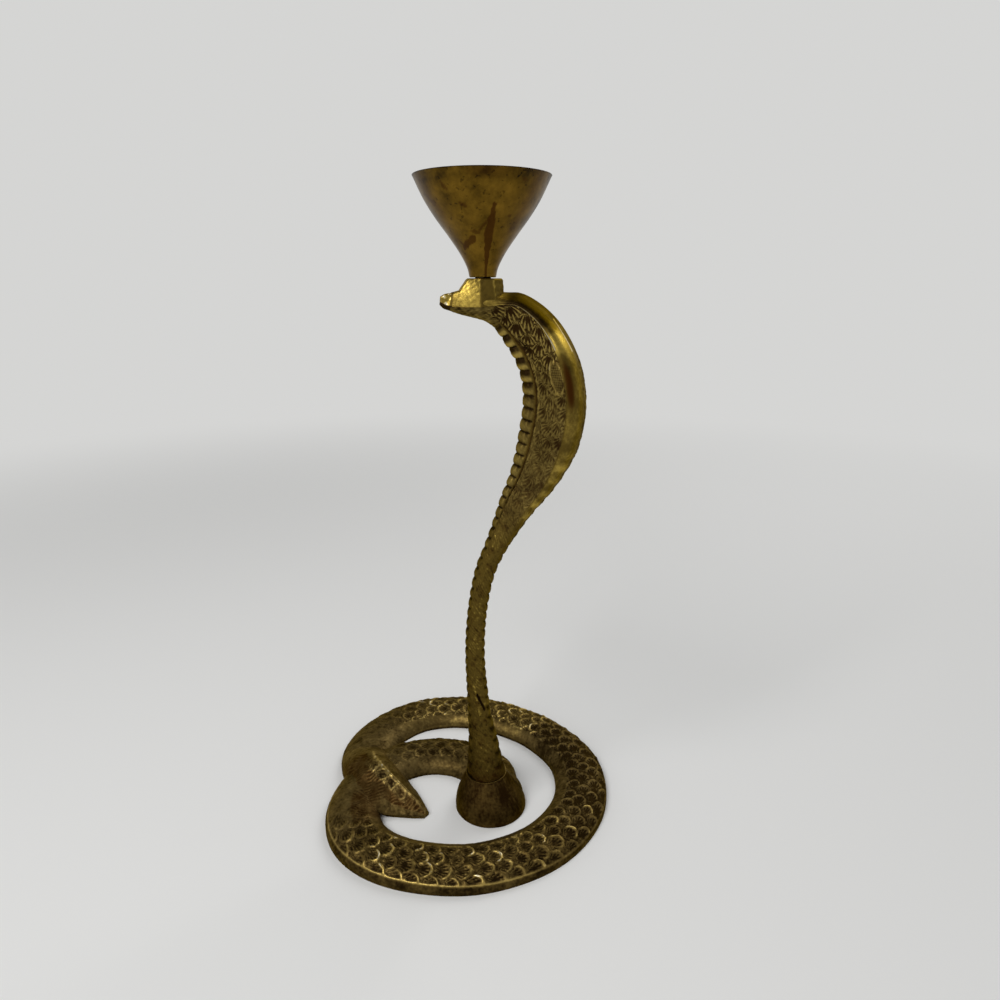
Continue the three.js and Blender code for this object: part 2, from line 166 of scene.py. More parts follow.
# Marks on the hood: station and share of the half ring, and reach in each
LENS = (16.65, 0.442, 0.78, 0.05)
CURL = (17.93, 0.411, 0.22, 0.03)
HOLE_STATION = 18.3
RED_SPOT = (16.4, 0.552, 1.0, 0.042)
# Strokes on the skin: ends in stations and shares times STROKE_SCALE, half width
STROKE_SCALE = (12, 20)
SLIT = ((47, 9.0), (40, 12.8), 0.8)
TWIST = ((51, 7.4), (38, 9.6), 1.1)
# GLOWS are painted highlight lines across the hood's band
GLOWS = [((230, 17.6), (222, 15.86), 0.5), ((222, 15.86), (212, 15.2), 0.5)]

# Boss on the head: depth below its top, front and back in x, half width
BOSS_RINGS = [
    (9.6, -13, 5.4, 7.1), (7.2, -12, 5.3, 6.8), (4.8, -10.9, 5.1, 6.4),
    (2.4, -9.2, 5, 6.1), (0.6, -7.9, 4.8, 6), (0, -7.2, 4.3, 5.5),
]
# The same for its eased top, drawn in to the middle
BOSS_CLOSE = np.array([[0.3, -7.62, 4.6, 5.82], [0.1, -7.35, 4.4, 5.6], [0, -7.05, 4.15, 5.35],
                       [0, -6, 3.2, 4.4], [0, -4, 0.4, 1.4]])
BOSS_FOOT = 9.6
BOSS_CORNER = 0.6
BOSS_CHEEK_X = -3.7

CUP_PROFILE = [
    (4.65, 0), (5.35, 3), (7.75, 7.7), (11.85, 13.6), (16.2, 19.4), (19.85, 25.1),
    (23.6, 32.75),
]
CUP_WALL = 1.5
CUP_FLOOR = 10.0
NECK_TOP = 5.3
CUP_MARK_RADIUS = 12
# Tarnish on the cup: angle, height, half width at one end, the same at the other, depth
CUP_MARKS = [
    (-86.5, 0.5, 0.9, -88.5, 13, 1.6, 0.85), (-88.5, 13, 1.6, -86, 22.6, 0.3, 0.85),
    (-142, 9.4, 0.8, -115, 12.3, 1.1, 0.8), (-117, 14.6, 0.3, -105, 14.1, 0.5, 0.6),
    (-105, 14.1, 0.5, -93, 17.4, 0.25, 0.6), (-123, 22.7, 0.35, -117, 21.9, 0.6, 0.6),
    (-136, 28.6, 0.3, -133, 27, 0.6, 0.6), (-166, 26.4, 0.3, -157, 22.8, 0.6, 0.6),
    (-62, 29.7, 0.4, -60, 29.2, 0.5, 0.5), (-66, 19.3, 0.35, -64, 18.9, 0.4, 0.5),
    (-150, 12.5, 0.2, -141, 10.6, 0.5, 0.5), (-104, 31.4, 1.6, -86, 31.6, 1.8, 0.3),
    (-44, 31, 1.4, -52, 15, 1, 0.35), (-166, 31, 1.2, -150, 19, 0.8, 0.3),
    (-20, 19, 1, -12, 16, 0.8, 0.5), (38, 24, 0.6, 30, 21, 1.1, 0.5),
    (80, 2, 0.8, 83, 17, 0.9, 0.6), (128, 22, 1, 139, 20, 1.3, 0.45),
    (172, 13, 0.9, 165, 11, 1.2, 0.5),
]
STUD_RADIUS = 3.0
STUD_PITCH = 1.0
THREAD_DEPTH = 0.45

# Camera at the photograph's viewpoint, from the bell's axis; angles in degrees
CAMERA_AT = (-41.94, -261.28, 219.8)
CAMERA_TILT = 73.07
CAMERA_HEADING = -10
# Lamps: name, place and aim in metres, width in metres, power in watts
LAMPS = [("key", (-0.5, -0.5, 0.9), (0, 0, 0.1), 0.6, 7.0),
         ("rim", (0.6, 0.5, 0.8), (0, 0, 0.15), 0.6, 3.0)]


def length(name, description, mm):
    return bpy.props.FloatProperty(name=name, description=description, default=mm * MM,
                                   unit="LENGTH")


def colour(name, description, *default):
    return bpy.props.FloatVectorProperty(name=name, description=description, default=default,
                                         subtype="COLOR", min=0, max=1)


class CoilSizes(bpy.types.PropertyGroup):
    """Relief of the coil."""

    pitch: length("Scale pitch", "Distance between scales in a row", 7.0)
    row: length("Row spacing", "Distance between two rows of scales", 4.8)
    relief: length("Relief", "Depth of the scales", 0.95)
    step: length("Step", "Distance between two rings of the surface", 0.36)


class CobraSizes(bpy.types.PropertyGroup):
    """Relief of the cobra."""

    pitch: length("Scale pitch", "Distance between scales in a row", 6.4)
    row: length("Row spacing", "Distance between two rows of scales", 4.4)
    relief: length("Relief", "Depth of the scales", 0.5)
    rib_pitch: length("Rib pitch", "Distance between two belly ribs on the hood", 4.35)
    rib_relief: length("Rib relief", "Height of a belly rib", 0.8)


class Finish(bpy.types.PropertyGroup):
    """Colours of the metals."""

    # bright and glint also colour painted highlights; glint, the whitish colour of the brightest
    # values, stands partly for edges rubbed bare and partly for painted highlights
    bright: colour("Rubbed brass", "Colour of the rubbed high spots", 0.50, 0.355, 0.10)
    aged: colour("Aged brass", "Colour of the toned brass", 0.106, 0.069, 0.019)
    patina: colour("Patina", "Colour of the deep patina", 0.016, 0.009, 0.003)
    glint: colour("Glint", "Colour of the few edges that are polished bare", 0.92, 0.82, 0.58)
    earth: colour("Unpolished brass", "Colour of the high spots that are never rubbed",
                  0.27, 0.195, 0.078)
    stain: colour("Stain", "Colour of the red-brown tarnish", 0.050, 0.017, 0.003)
    cup: colour("Cup", "Colour of the turned cup", 0.165, 0.092, 0.011)
    stud: colour("Stud", "Colour of the threaded stud", 0.62, 0.48, 0.22)
    steel: colour("Steel", "Colour of the screw and the washer", 0.55, 0.54, 0.52)


class StageSettings(bpy.types.PropertyGroup):
    """Camera and light."""

    lens: bpy.props.FloatProperty(
        name="Focal length", description="Focal length of the camera", default=25.99,
        unit="CAMERA")
    floor: colour("Floor", "Colour of the floor", 0.86, 0.86, 0.85)
    backdrop: colour("Backdrop", "Colour of the backdrop", 0.665, 0.665, 0.655)
    fill: bpy.props.FloatProperty(
        name="Fill", description="Strength of the even light all round", default=0.7)
    overhead: bpy.props.FloatProperty(
        name="Overhead", description="Share of that light that is left straight overhead",
        default=0.25, subtype="FACTOR")


def in_mm(metres):
    """A length from a property as millimetres, free of the property's rounding."""
    return round(metres / MM, 4)


def catmull(points, t):
    """Centripetal Catmull-Rom spline through points, at t counted in points.

    Between b and c it is the cubic with those ends and with tangents taken from the
    neighbours a and d, each chord weighed by the square root of its length. Past an
    end the neighbour is the end's mirror image.
    """
    p = np.asarray(points, float)
    padded = np.vstack([2 * p[0] - p[1], p, 2 * p[-1] - p[-2]])
    k = np.clip(np.floor(t).astype(int), 0, len(p) - 2)
    w = (t - k)[..., None]
    a, b, c, d = (padded[k + i] for i in range(4))

    def span(q, r):
        return np.sqrt(np.linalg.norm(r - q, axis=-1, keepdims=True))

    mid = span(b, c)
    mid = np.where(mid < 1e-4, 1, mid)
    first, last = (np.where(s < 1e-4, mid, s) for s in (span(a, b), span(c, d)))
    enter = ((b - a) / first - (c - a) / (first + mid) + (c - b) / mid) * mid
    leave = ((c - b) / mid - (d - b) / (mid + last) + (d - c) / last) * mid
    return (b + enter * w + (3 * (c - b) - 2 * enter - leave) * w ** 2
            + (2 * (b - c) + enter + leave) * w ** 3)


def mix(a, b, t):
    """a where t is 0, b where it is 1, evenly between."""
    return a + (b - a) * t


def smooth(t):
    """3 t^2 - 2 t^3, with t held from 0 to 1."""
    t = np.clip(t, 0, 1)
    return t * t * (3 - 2 * t)


def step_up(x, low, high):
    """0 up to low, 1 past high, smooth between."""
    return smooth((x - low) / (high - low))


def step_down(x, low, high):
    """1 up to low, 0 past high, smooth between."""
    return 1 - step_up(x, low, high)


def plateau(x, a, b, c, d):
    """0 up to a, 1 from b to c, 0 past d, smooth between."""
    return step_up(x, a, b) * step_down(x, c, d)


def rise(x, at, wide):
    """A narrow rise to 1 where x is at: e to the minus square of (x - at) / wide."""
    return np.exp(-((x - at) / wide) ** 2)


def unit(v):
    """Vectors over their own lengths."""
    return v / np.maximum(np.linalg.norm(v, axis=-1, keepdims=True), 1e-12)


def running(points, axis=0):
    """Distance along the points from the first one, summed over the chords."""
    chords = np.linalg.norm(np.diff(points, axis=axis), axis=-1)
    start = np.zeros_like(np.take(chords, [0], axis=axis))
    return np.concatenate([start, np.cumsum(chords, axis=axis)], axis=axis)


def even(path, count, step):
    """Values of t that walk path(t), t from 0 to count - 1, in even steps of length."""
    t = np.linspace(0, count - 1, 6000)
    reached = running(path(t))
    steps = max(2, round(reached[-1] / step))
    return np.interp(np.linspace(0, reached[-1], steps + 1), reached, t)


def by_station(t, pairs):
    """A value that changes evenly between (station, value) pairs, for rings at t."""
    return np.interp(np.ravel(t), *zip(*pairs))[:, None]


def normals(grid):
    """Unit normals of a grid of rings: along the rings crossed with round the ring."""
    along = np.gradient(grid, axis=0)
    around = np.roll(grid, -1, axis=1) - np.roll(grid, 1, axis=1)
    n = unit(np.cross(along, around))
    outward = grid - grid.mean(axis=1, keepdims=True)
    return n if np.sum(n * outward) > 0 else -n


def wander(x, y, size):
    """A slow, fixed waviness of about -1 to 1: three sines that cross at odd angles."""
    x, y = x / size, y / size
    return (np.sin(1.7 * x + 0.9 * y) + np.sin(-1.1 * x + 2.3 * y + 1.3)
            + np.sin(2.9 * x - 1.9 * y + 4.1)) / 3


def jitter(i, j, a, b):
    """A fixed scatter of -1 to 1 for scale i of row j."""
    return np.sin(a * i + b * j + 0.7 * np.sin(b * i - a * j))


def scales(u, v, pitch, row, rays, rim):
    """Height, 0 to 1, of overlapping scales whose free edges point along +u, and their rub.

    Row j lies at v = j * row, its scales pitch apart in u and every second row half a
    pitch on, all a little scattered. In a scale, with r from its middle and the angle a
    from its root, teeth stand where cos(rays * a) is high, in a hollow next to the
    rounded rim. Where two scales meet, the one further back lies on top.
    """
    near = np.round(v / row)
    height = np.full(u.shape, BARE)
    rub = np.zeros(u.shape)
    first = np.full(u.shape, np.inf)
    for dj in (-1, 0, 1):
        j = near + dj
        start = (j % 2) / 2 * pitch
        back = np.floor((u - start) / pitch)
        for di in (-1, 0, 1, 2):
            i = back + di
            cu = start + (i + 0.11 * jitter(i, j, 12.9, 7.2)) * pitch
            size = 1 + 0.1 * jitter(i, j, 5.3, 2.9)
            x = (u - cu) / (0.56 * pitch * size)
            y = (v - (j + 0.1 * jitter(i, j, 3.1, 9.7)) * row) / (0.7 * row * size)
            r = np.hypot(x, y)
            a = np.arctan2(y, x + 0.9)
            edge = np.sin(np.pi * np.clip((r - 0.6) / 0.4, 0, 1)) ** 0.8
            edge = edge * step_up(x, -0.2, 0.3) * (0.85 + 0.15 * jitter(i, j, 2.3, 6.1))
            teeth = step_up(np.cos(rays * a), -0.2, 0.7) * step_up(r, 0.1, 0.5)
            hollow = 0.08 + 0.45 * teeth * step_up(x, -0.9, -0.4) + 0.16 * step_up(-x, 0, 0.8)
            hit = (r < 1) & (cu < first)
            first = np.where(hit, cu, first)
            height = np.where(hit, np.maximum(hollow, rim * edge), height)
            arc = 0.75 + 0.25 * np.cos(3.4 * a + 6 * jitter(i, j, 4.3, 8.9))
            rub = np.where(hit, arc * (0.75 + 0.35 * jitter(i, j, 8.1, 4.7)), rub)
    return height, rub


def line_gap(x, y, a, b, wide_a, wide_b):
    """Distance from the line from a to b in the x, y plane, over its half width there."""
    along = np.clip(((x - a[0]) * (b[0] - a[0]) + (y - a[1]) * (b[1] - a[1]))
                    / ((b[0] - a[0]) ** 2 + (b[1] - a[1]) ** 2), 0, 1)
    gap = np.hypot(x - mix(a[0], b[0], along), y - mix(a[1], b[1], along))
    return gap / mix(wide_a, wide_b, along)


def stroke(t, s, a, b, wide):
    """1 on the line from a to b on the cobra's skin, falling to 0 at wide to its side."""
    x, y = t * STROKE_SCALE[0], s * STROKE_SCALE[1]
    return step_down(line_gap(x, y, a, b, wide, wide), 0.3, 1)


def oval_gap(t, s, place):
    """Distance from the middle of an oval mark, 1 on its edge."""
    at_t, at_s, reach_t, reach_s = place
    return np.hypot((t - at_t) / reach_t, (s - at_s) / reach_s)


def turned(radius, z, turn, axis_x=0):
    """Points at a radius, a height and an angle round an upright axis."""
    radius, z, turn = np.broadcast_arrays(radius, z, turn)
    return np.stack([axis_x + radius * np.cos(turn), radius * np.sin(turn), z], axis=-1)


def full_turn(count):
    """A row of angles that go once round in even steps."""
    return np.linspace(0, 2 * np.pi, count, endpoint=False)[None, :]


def whole_ring(half, flip=1):
    """A half ring, front to back, and its mirror image on the way back."""
    return np.concatenate([half, half[:, -2:0:-1] * flip], axis=1)


def new_mesh(name, points, quads, tris, marks):
    """Puts points in mm and their faces into a mesh, turned so that they point out."""
    p = np.asarray(points) * MM
    corner = np.vstack([quads[:, [0, 1, 2]], quads[:, [0, 2, 3]], tris])
    volume = np.einsum("ij,ij->", p[corner[:, 0]],
                       np.cross(p[corner[:, 1]], p[corner[:, 2]]))
    if volume < 0:
        quads, tris = quads[:, ::-1], tris[:, ::-1]
    mesh = bpy.data.meshes.new(name)
    mesh.from_pydata(p.tolist(), [], quads.tolist() + tris.tolist())
    for key, values in marks.items():
        mark = mesh.attributes.new(key, "FLOAT", "POINT")
        mark.data.foreach_set("value", np.asarray(values, np.float32))
    mesh.shade_smooth()
    mesh.update()
    return mesh


def ring_faces(rows, cols, closed=False):
    """Quads between rings of cols points each; closed joins the last ring to the first."""
    r = np.arange(rows if closed else rows - 1)[:, None]
    c = np.arange(cols)[None, :]
    here, there = r * cols, ((r + 1) % rows) * cols
    along = (c + 1) % cols
    return np.stack([here + c, here + along, there + along, there + c], axis=-1).reshape(-1, 4)


def tube(name, grid, marks, closed=False):
    """A mesh of rings, with a fan on each end unless the rings close on themselves."""
    rows, cols = grid.shape[:2]
    points = grid.reshape(-1, 3)
    marks = {key: np.broadcast_to(m, (rows, cols)).ravel() for key, m in marks.items()}
    tris = np.empty((0, 3), int)
    if not closed:
        c = np.arange(cols)
        after = (c + 1) % cols
        last = (rows - 1) * cols
        low = np.stack([after, c, np.full(cols, rows * cols)], axis=-1)
        top = np.stack([last + c, last + after, np.full(cols, rows * cols + 1)], axis=-1)
        tris = np.vstack([low, top])
        points = np.vstack([points, grid[0].mean(axis=0), grid[-1].mean(axis=0)])
        marks = {key: np.append(m, [m[:cols].mean(), m[-cols:].mean()])
                 for key, m in marks.items()}
    return new_mesh(name, points, ring_faces(rows, cols, closed), tris, marks)


def slices(name, grid, t, marks, cuts):
    """Meshes of the runs of rings between the stations in cuts; neighbours share a ring."""
    at = [0, *np.searchsorted(t, cuts).tolist(), len(t) - 1]
    return [tube("%s_%d" % (name, k + 1), grid[a:b + 1],
                 {key: m[a:b + 1] for key, m in marks.items()})
            for k, (a, b) in enumerate(zip(at, at[1:]))]


def add_object(name, data):
    """A new object in the scene, at the origin."""
    thing = bpy.data.objects.new(name, data)
    bpy.context.scene.collection.objects.link(thing)
    return thing


def show(mesh, material, body, node, sharp=None):
    """Makes the object of a mesh, hangs it under the empty of the body it rides on, and hides the
    imported part it stands for.
    """
    if sharp is not None:
        mesh.set_sharp_from_angle(angle=math.radians(sharp))
    piece = add_object(mesh.name, mesh)
    mesh.materials.append(material)
    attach(piece, body)
    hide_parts(node)


def coil_grid(step):
    """The coil's smooth surface, before its scales.

    Rings stand along the route. Across a ring, a runs from -1 to 1, the height is
    skirt + (crest - skirt) * (1 - |a| ^ (1 + swell * full)) ^ (1 - shoulder * full),
    and the ring closes under the flat foot. Where the tail lies on the coil, its outer
    face is filled straight down to the coil's crest. The columns stand closer together
    where the scales are.
    """
    def path(t):
        return catmull(COIL_ROUTE, t)

    def dome(a, full):
        return (1 - np.abs(a) ** (1 + DOME_SWELL * full)) ** (1 - DOME_SHOULDER * full)

    crest, inner, outer, full = COIL_PLAIN
    fine = -np.cos(np.pi * np.linspace(0, 1, 4001))
    arc = running(np.stack([fine * outer, dome(fine, full) * (crest - COIL_SKIRT)], axis=-1))
    scales_from = np.interp(-0.7, fine, arc)
    a = np.interp(np.concatenate([np.linspace(0, scales_from, 11)[:-1],
                                  np.linspace(scales_from, arc[-1], 66)]), arc, fine)[None, :]

    t = even(path, len(COIL_ROUTE), step)
    at = path(t)
    heading = unit(np.gradient(at, axis=0))
    right = np.stack([heading[:, 1], -heading[:, 0]], axis=-1)
    crest, inner, outer, full = (np.interp(t, np.arange(len(COIL_SIZES)), column)[:, None]
                                 for column in np.array(COIL_SIZES, float).T)
    skirt = np.minimum(COIL_SKIRT, crest / 2)
    reach = outer + by_station(t, TAIL_REACH)
    side = by_station(t, TAIL_FACE)
    z = skirt + (crest - skirt) * dome(a, full)
    filled = mix(crest, side, np.clip(a, 0, 1)) - 0.4 * smooth(a * 8) * (side > 3)
    z = np.where((a > 0) & (side > skirt + 0.01), np.maximum(z, filled), z)
    across = np.where(a < 0, inner, reach) * a
    under = np.array([0.97, 0, -0.97])[None, :]
    foot = np.where(under > 0, outer, inner) * under
    skirts = np.array([0.5, 0.12, 0])[None, :] * skirt
    ones = np.ones_like(skirts[:1])
    across = np.hstack([across, outer * ones, foot, -inner * ones])
    z = np.hstack([z, skirts, np.zeros_like(foot), skirts[:, ::-1]])
    grid = np.empty(across.shape + (3,))
    grid[..., :2] = at[:, None, :] + right[:, None, :] * across[..., None]
    grid[..., 2] = z
    return grid, t, a.shape[1], int(np.argmin(np.abs(a)))


def tail_pattern(u, v, t, relief):
    """The tail's share, relief in mm, and what it adds to the raised and stain marks.

    The ridge is a narrow rise. Beside it lies one row of fans, and round them, and on
    the turn below the tail, hatching: a sine of u and v that wanders. The outer edge
    has a plain rim.
    """
    tail = step_up(t, 23.3, 24.2)
    ridge_v = by_station(t, RIDGE_LINE)
    ridge = rise(v, ridge_v, 0.5) * tail * step_down(t, 27.8, 28.8)
    ridge_highlight = rise(v, ridge_v, 0.9) * tail * by_station(t, RIDGE_HIGHLIGHT_SHARE)
    fans, _ = scales(u - 2.2 + 0.6 * wander(u, v, 1.9), v - 2.5 + 0.6 * wander(v, u, 1.7),
                     *TAIL_FAN)
    fan = plateau(v, 0.2, 0.8, 4.2, 5.4) * (fans != BARE) * by_station(t, FAN_SHARE)
    below = plateau(t, 7.2, 7.8, 8.5, 9.2) * step_down(v, 0, 1.5)
    rim = by_station(t, EDGE_SHARE) * step_up(v, by_station(t, EDGE_FROM), by_station(t, EDGE_TO))
    left = np.maximum(tail * step_up(v, 0.5, 1.5), below) * (1 - fan) * (1 - rim)
    hatch = (np.sin((u + 0.5 * v + 1.5 * wander(u, v, 5)) * 4.2)
             * step_up(wander(v, u, 2.6), -0.5, 0.2))
    carved = relief * 0.6 * fan * (fans - 0.35) + 0.35 * ridge + 0.13 * left * hatch
    # the brightness along the tail's ridge is a painted highlight
    rubbed_and_lit = (1.2 * fan * (fans - 0.22) + ridge_highlight * (0.9 + 0.8 * wander(u, v, 1.1))
              + left * (0.16 * hatch - 0.04) - 0.06 * rim)
    return tail, carved, rubbed_and_lit, 0.55 * left * (0.8 + 0.2 * wander(u, v, 4))


def coil_pattern(u, v, t, sizes):
    """Relief in mm, and the raised, stain and dull marks, over the top of the coil.

    u runs along the crest and v outward from it. The zone is where scales are cut. It
    ends at two fine ridges, the lip outside and a broken one inside. Relief is
    zone * (height of the scales - 0.45) * depth, with the two lines, the unevenness of
    the casting and the tail's carving added. The mark of rubbing and light follows it, and
    is brighter where scale rims are rubbed; along the back of the coil it is brighter still
    as a painted highlight, along its right side darker as painted shade, and it is darker
    as painted shade on the outer side below the lip.
    """
    tail, tail_relief, tail_rubbed_and_lit, stain = tail_pattern(u, v, t, in_mm(sizes.relief))
    height, rub = scales(u + 0.5 * wander(u, v, 9) + 0.13 * wander(u, v, 0.75),
                         v + 3.6 + 0.4 * wander(v, u, 7) + 0.13 * wander(v, u, 0.9),
                         in_mm(sizes.pitch), in_mm(sizes.row), 24, 1.0)
    # rubbed: how bright the scale rims are, with a painted highlight along the back of the coil
    depth, rubbed = by_station(t, SCALE_DEPTH), by_station(t, SCALE_RUB_AND_HIGHLIGHT)
    lip_v, low_v = by_station(t, LIP_LINE), by_station(t, LOW_LINE)
    on_scale = (height != BARE) * step_up(v, low_v - 0.6, low_v + 0.6)
    zone = np.maximum(on_scale, step_up(v, -3.4, -2)) * depth
    zone = zone * step_down(v, lip_v - 0.7, lip_v - 0.1)
    lip = rise(v, lip_v, 0.4) * step_up(t, 3, 4)
    lip = lip * (1 - 0.7 * step_up(t, 12.2, 13.4) - 0.3 * step_up(t, 21.4, 22.4))
    crest_line = rise(v, low_v, 0.35) * depth * step_up(wander(u, v, 4), -0.2, 0.4)
    lines = lip + crest_line
    cast = 0.05 * wander(u, v, 2.1) + 0.035 * wander(v, u, 0.9)
    rims = zone * step_up(height, 0.5, 0.9)
    worn = rub * rubbed * (0.8 + 0.35 * wander(u, v, 1.3))
    flank = step_down(v, low_v - 1, low_v + 0.5) * step_down(t, 20.5, 21.5)

    relief = (in_mm(sizes.relief) * zone * (height - 0.45) + cast * step_down(np.abs(v), 11, 12.5)
              + 0.2 * lines * (0.3 + 0.7 * depth) + tail_relief)
    rubbed_and_lit = (0.31 + by_station(t, COIL_TONE_AND_LIGHT) + 1.6 * cast + zone * (0.9 * height - 0.38)
              + rims * (1.2 * worn - 0.45) + 0.5 * lines * (0.2 + rubbed) + tail_rubbed_and_lit
              # painted shade: the coil's outer side below the lip is darker
              + (0.05 * flank - 0.16 * step_up(v, lip_v + 0.2, lip_v + 1)) * (1 - tail))
    return relief, rubbed_and_lit, stain, by_station(t, COIL_GREY) * (1 - 0.5 * rims)


def coil_meshes(sizes):
    """The coil with its scales, in three runs: the smooth surface moved along its normals."""
    grid, t, top, middle = coil_grid(in_mm(sizes.step))
    u = running(grid[:, middle])[:, None]
    v = running(grid[:, :top], axis=1)
    over = coil_pattern(u, v - v[:, [middle]], t[:, None], sizes)
    relief, rubbed_and_lit, stain, dull = (np.full(grid.shape[:2], rest) for rest in (0.0, 0.2, 0.0, 0.2))
    for whole, part in zip((relief, rubbed_and_lit, stain, dull), over):
        whole[:, :top] = part
    grid = grid + normals(grid) * relief[..., None]
    grid[..., 2] = np.maximum(grid[..., 2], 0)

    # Kept out of the bell's hollow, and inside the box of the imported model
    away = grid[..., :2] - np.array([STEM_AXIS_X, 0])
    reach = np.linalg.norm(away, axis=-1, keepdims=True)
    clear = BELL_HOLLOW[0] + 0.4
    grid[..., :2] = np.where(reach < clear, away / reach * clear + [STEM_AXIS_X, 0],
                             grid[..., :2])
    low, high = (np.array(corner) / MM for corner in CAD_BOX)
    grid = np.clip(grid + BASE_SHIFT, low, high)
    return slices("coil", grid, t, {"rubbed_and_lit": rubbed_and_lit, "stain": stain, "dull": dull}, COIL_CUTS)


def bell_mesh():
    """The bell: a turned skin whose axis leans with height, closed round its hollow."""
    profile = catmull(BELL_PROFILE, np.linspace(0, len(BELL_PROFILE) - 1, 70))[1:-1]
    hollow, roof = BELL_HOLLOW
    inner = [(6, BELL_HEIGHT), (BORE_RADIUS, BELL_HEIGHT), (BORE_RADIUS, roof), (6.5, roof),
             (hollow - 0.6, roof), (hollow, roof - 0.6), (hollow, 4), (hollow, 0.3),
             (hollow + 0.3, 0), (14.6, 0)]
    r, z = np.array(list(profile) + BELL_LIP + inner).T[..., None]
    row = np.arange(len(r))[:, None]
    lean = STEM_AXIS_X * np.where(row < len(profile) + len(BELL_LIP), smooth(z / BELL_HEIGHT), 1)
    lean[-1] = 0
    turn = full_turn(160)
    outer = row < len(profile) - 1
    chatter = 0.05 * wander(turn * 60, z, 2.2) + 0.06 * wander(turn * 15, z, 4)
    grid = turned(r + np.where(outer, chatter, 0), z, turn, lean)
    rubbed_and_lit = np.where(outer, 0.2 + 1.5 * chatter, 0.15)
    # the lip's ring is lighter, partly as a rubbed edge and partly as a painted highlight
    rubbed_and_lit[len(profile) + 1:len(profile) - 1 + len(BELL_LIP)] = 0.6
    return tube("bell", grid + BASE_SHIFT, {"rubbed_and_lit": rubbed_and_lit, "stain": 0.2}, closed=True)


def hood_outline(edge, s):
    """Half of the hood's section: depth and half width as shares, at s from 0 to 1.

    The line runs from the middle of the belly ribs, over the groove and the scaled
    face to the wing's edge at s 0.5, along the smooth band and over the back. It is a
    uniform Catmull-Rom spline through nine points and the mirror image at both ends.
    """
    depth = [0, 0.05, 0.16, (0.16 + edge) / 2, edge, (edge + 0.83) / 2, 0.83, 0.915, 1]
    width = [0, 0.195, 0.26, 0.67, 1, 0.97, 0.7, 0.35, 0]
    points = np.stack([np.stack(np.broadcast_arrays(edge, *line)[1:], axis=-1)
                       for line in (depth, width)], axis=-1)
    other = np.array([1, -1])
    points = np.concatenate([points[:, 2:0:-1] * other, points, points[:, -2:-4:-1] * other],
                            axis=1)
    k = s * 8 + 2
    low = np.clip(np.floor(k).astype(int), 1, 11)
    w = k - low
    weights = np.stack([-w + 2 * w ** 2 - w ** 3, 2 - 5 * w ** 2 + 3 * w ** 3,
                        w + 4 * w ** 2 - 3 * w ** 3, -w ** 2 + w ** 3]) / 2
    near = np.stack([low - 1, low, low + 1, low + 2])
    return np.moveaxis((points[:, near] * weights[..., None]).sum(axis=1), -1, 0)


def cobra_grid():
    """The near half of the cobra's smooth surface: half rings from the foot to the snout.

    The front and back lines are splines through the stations. A ring mixes the ellipse
    (depth (1 - cos pi s) / 2, width sin pi s) with the hood's outline by the hood share.
    """
    table = np.array(COBRA, float)
    front, back = table[:, 0:2], table[:, 2:4]

    def middle(t):
        return (catmull(front, t) + catmull(back, t)) / 2

    t = even(middle, len(COBRA), COBRA_STEP)
    half, edge, hood = catmull(table[:, 4:7], t).T
    hood = np.clip(hood, 0, 1)[:, None]
    s = np.interp(np.linspace(0, 1, HALF_RING + 1), *zip(*RING_SPACING))
    depth, width = hood_outline(edge, s)
    depth = mix((1 - np.cos(np.pi * s)) / 2, depth, hood)
    width = mix(np.sin(np.pi * s), width, hood)
    f, b = catmull(front, t)[:, None, :], catmull(back, t)[:, None, :]
    x, z = np.moveaxis(mix(f, b, depth[..., None]), -1, 0)
    return np.stack([x, -width * half[:, None], z + STEM_FOOT], axis=-1), t, s


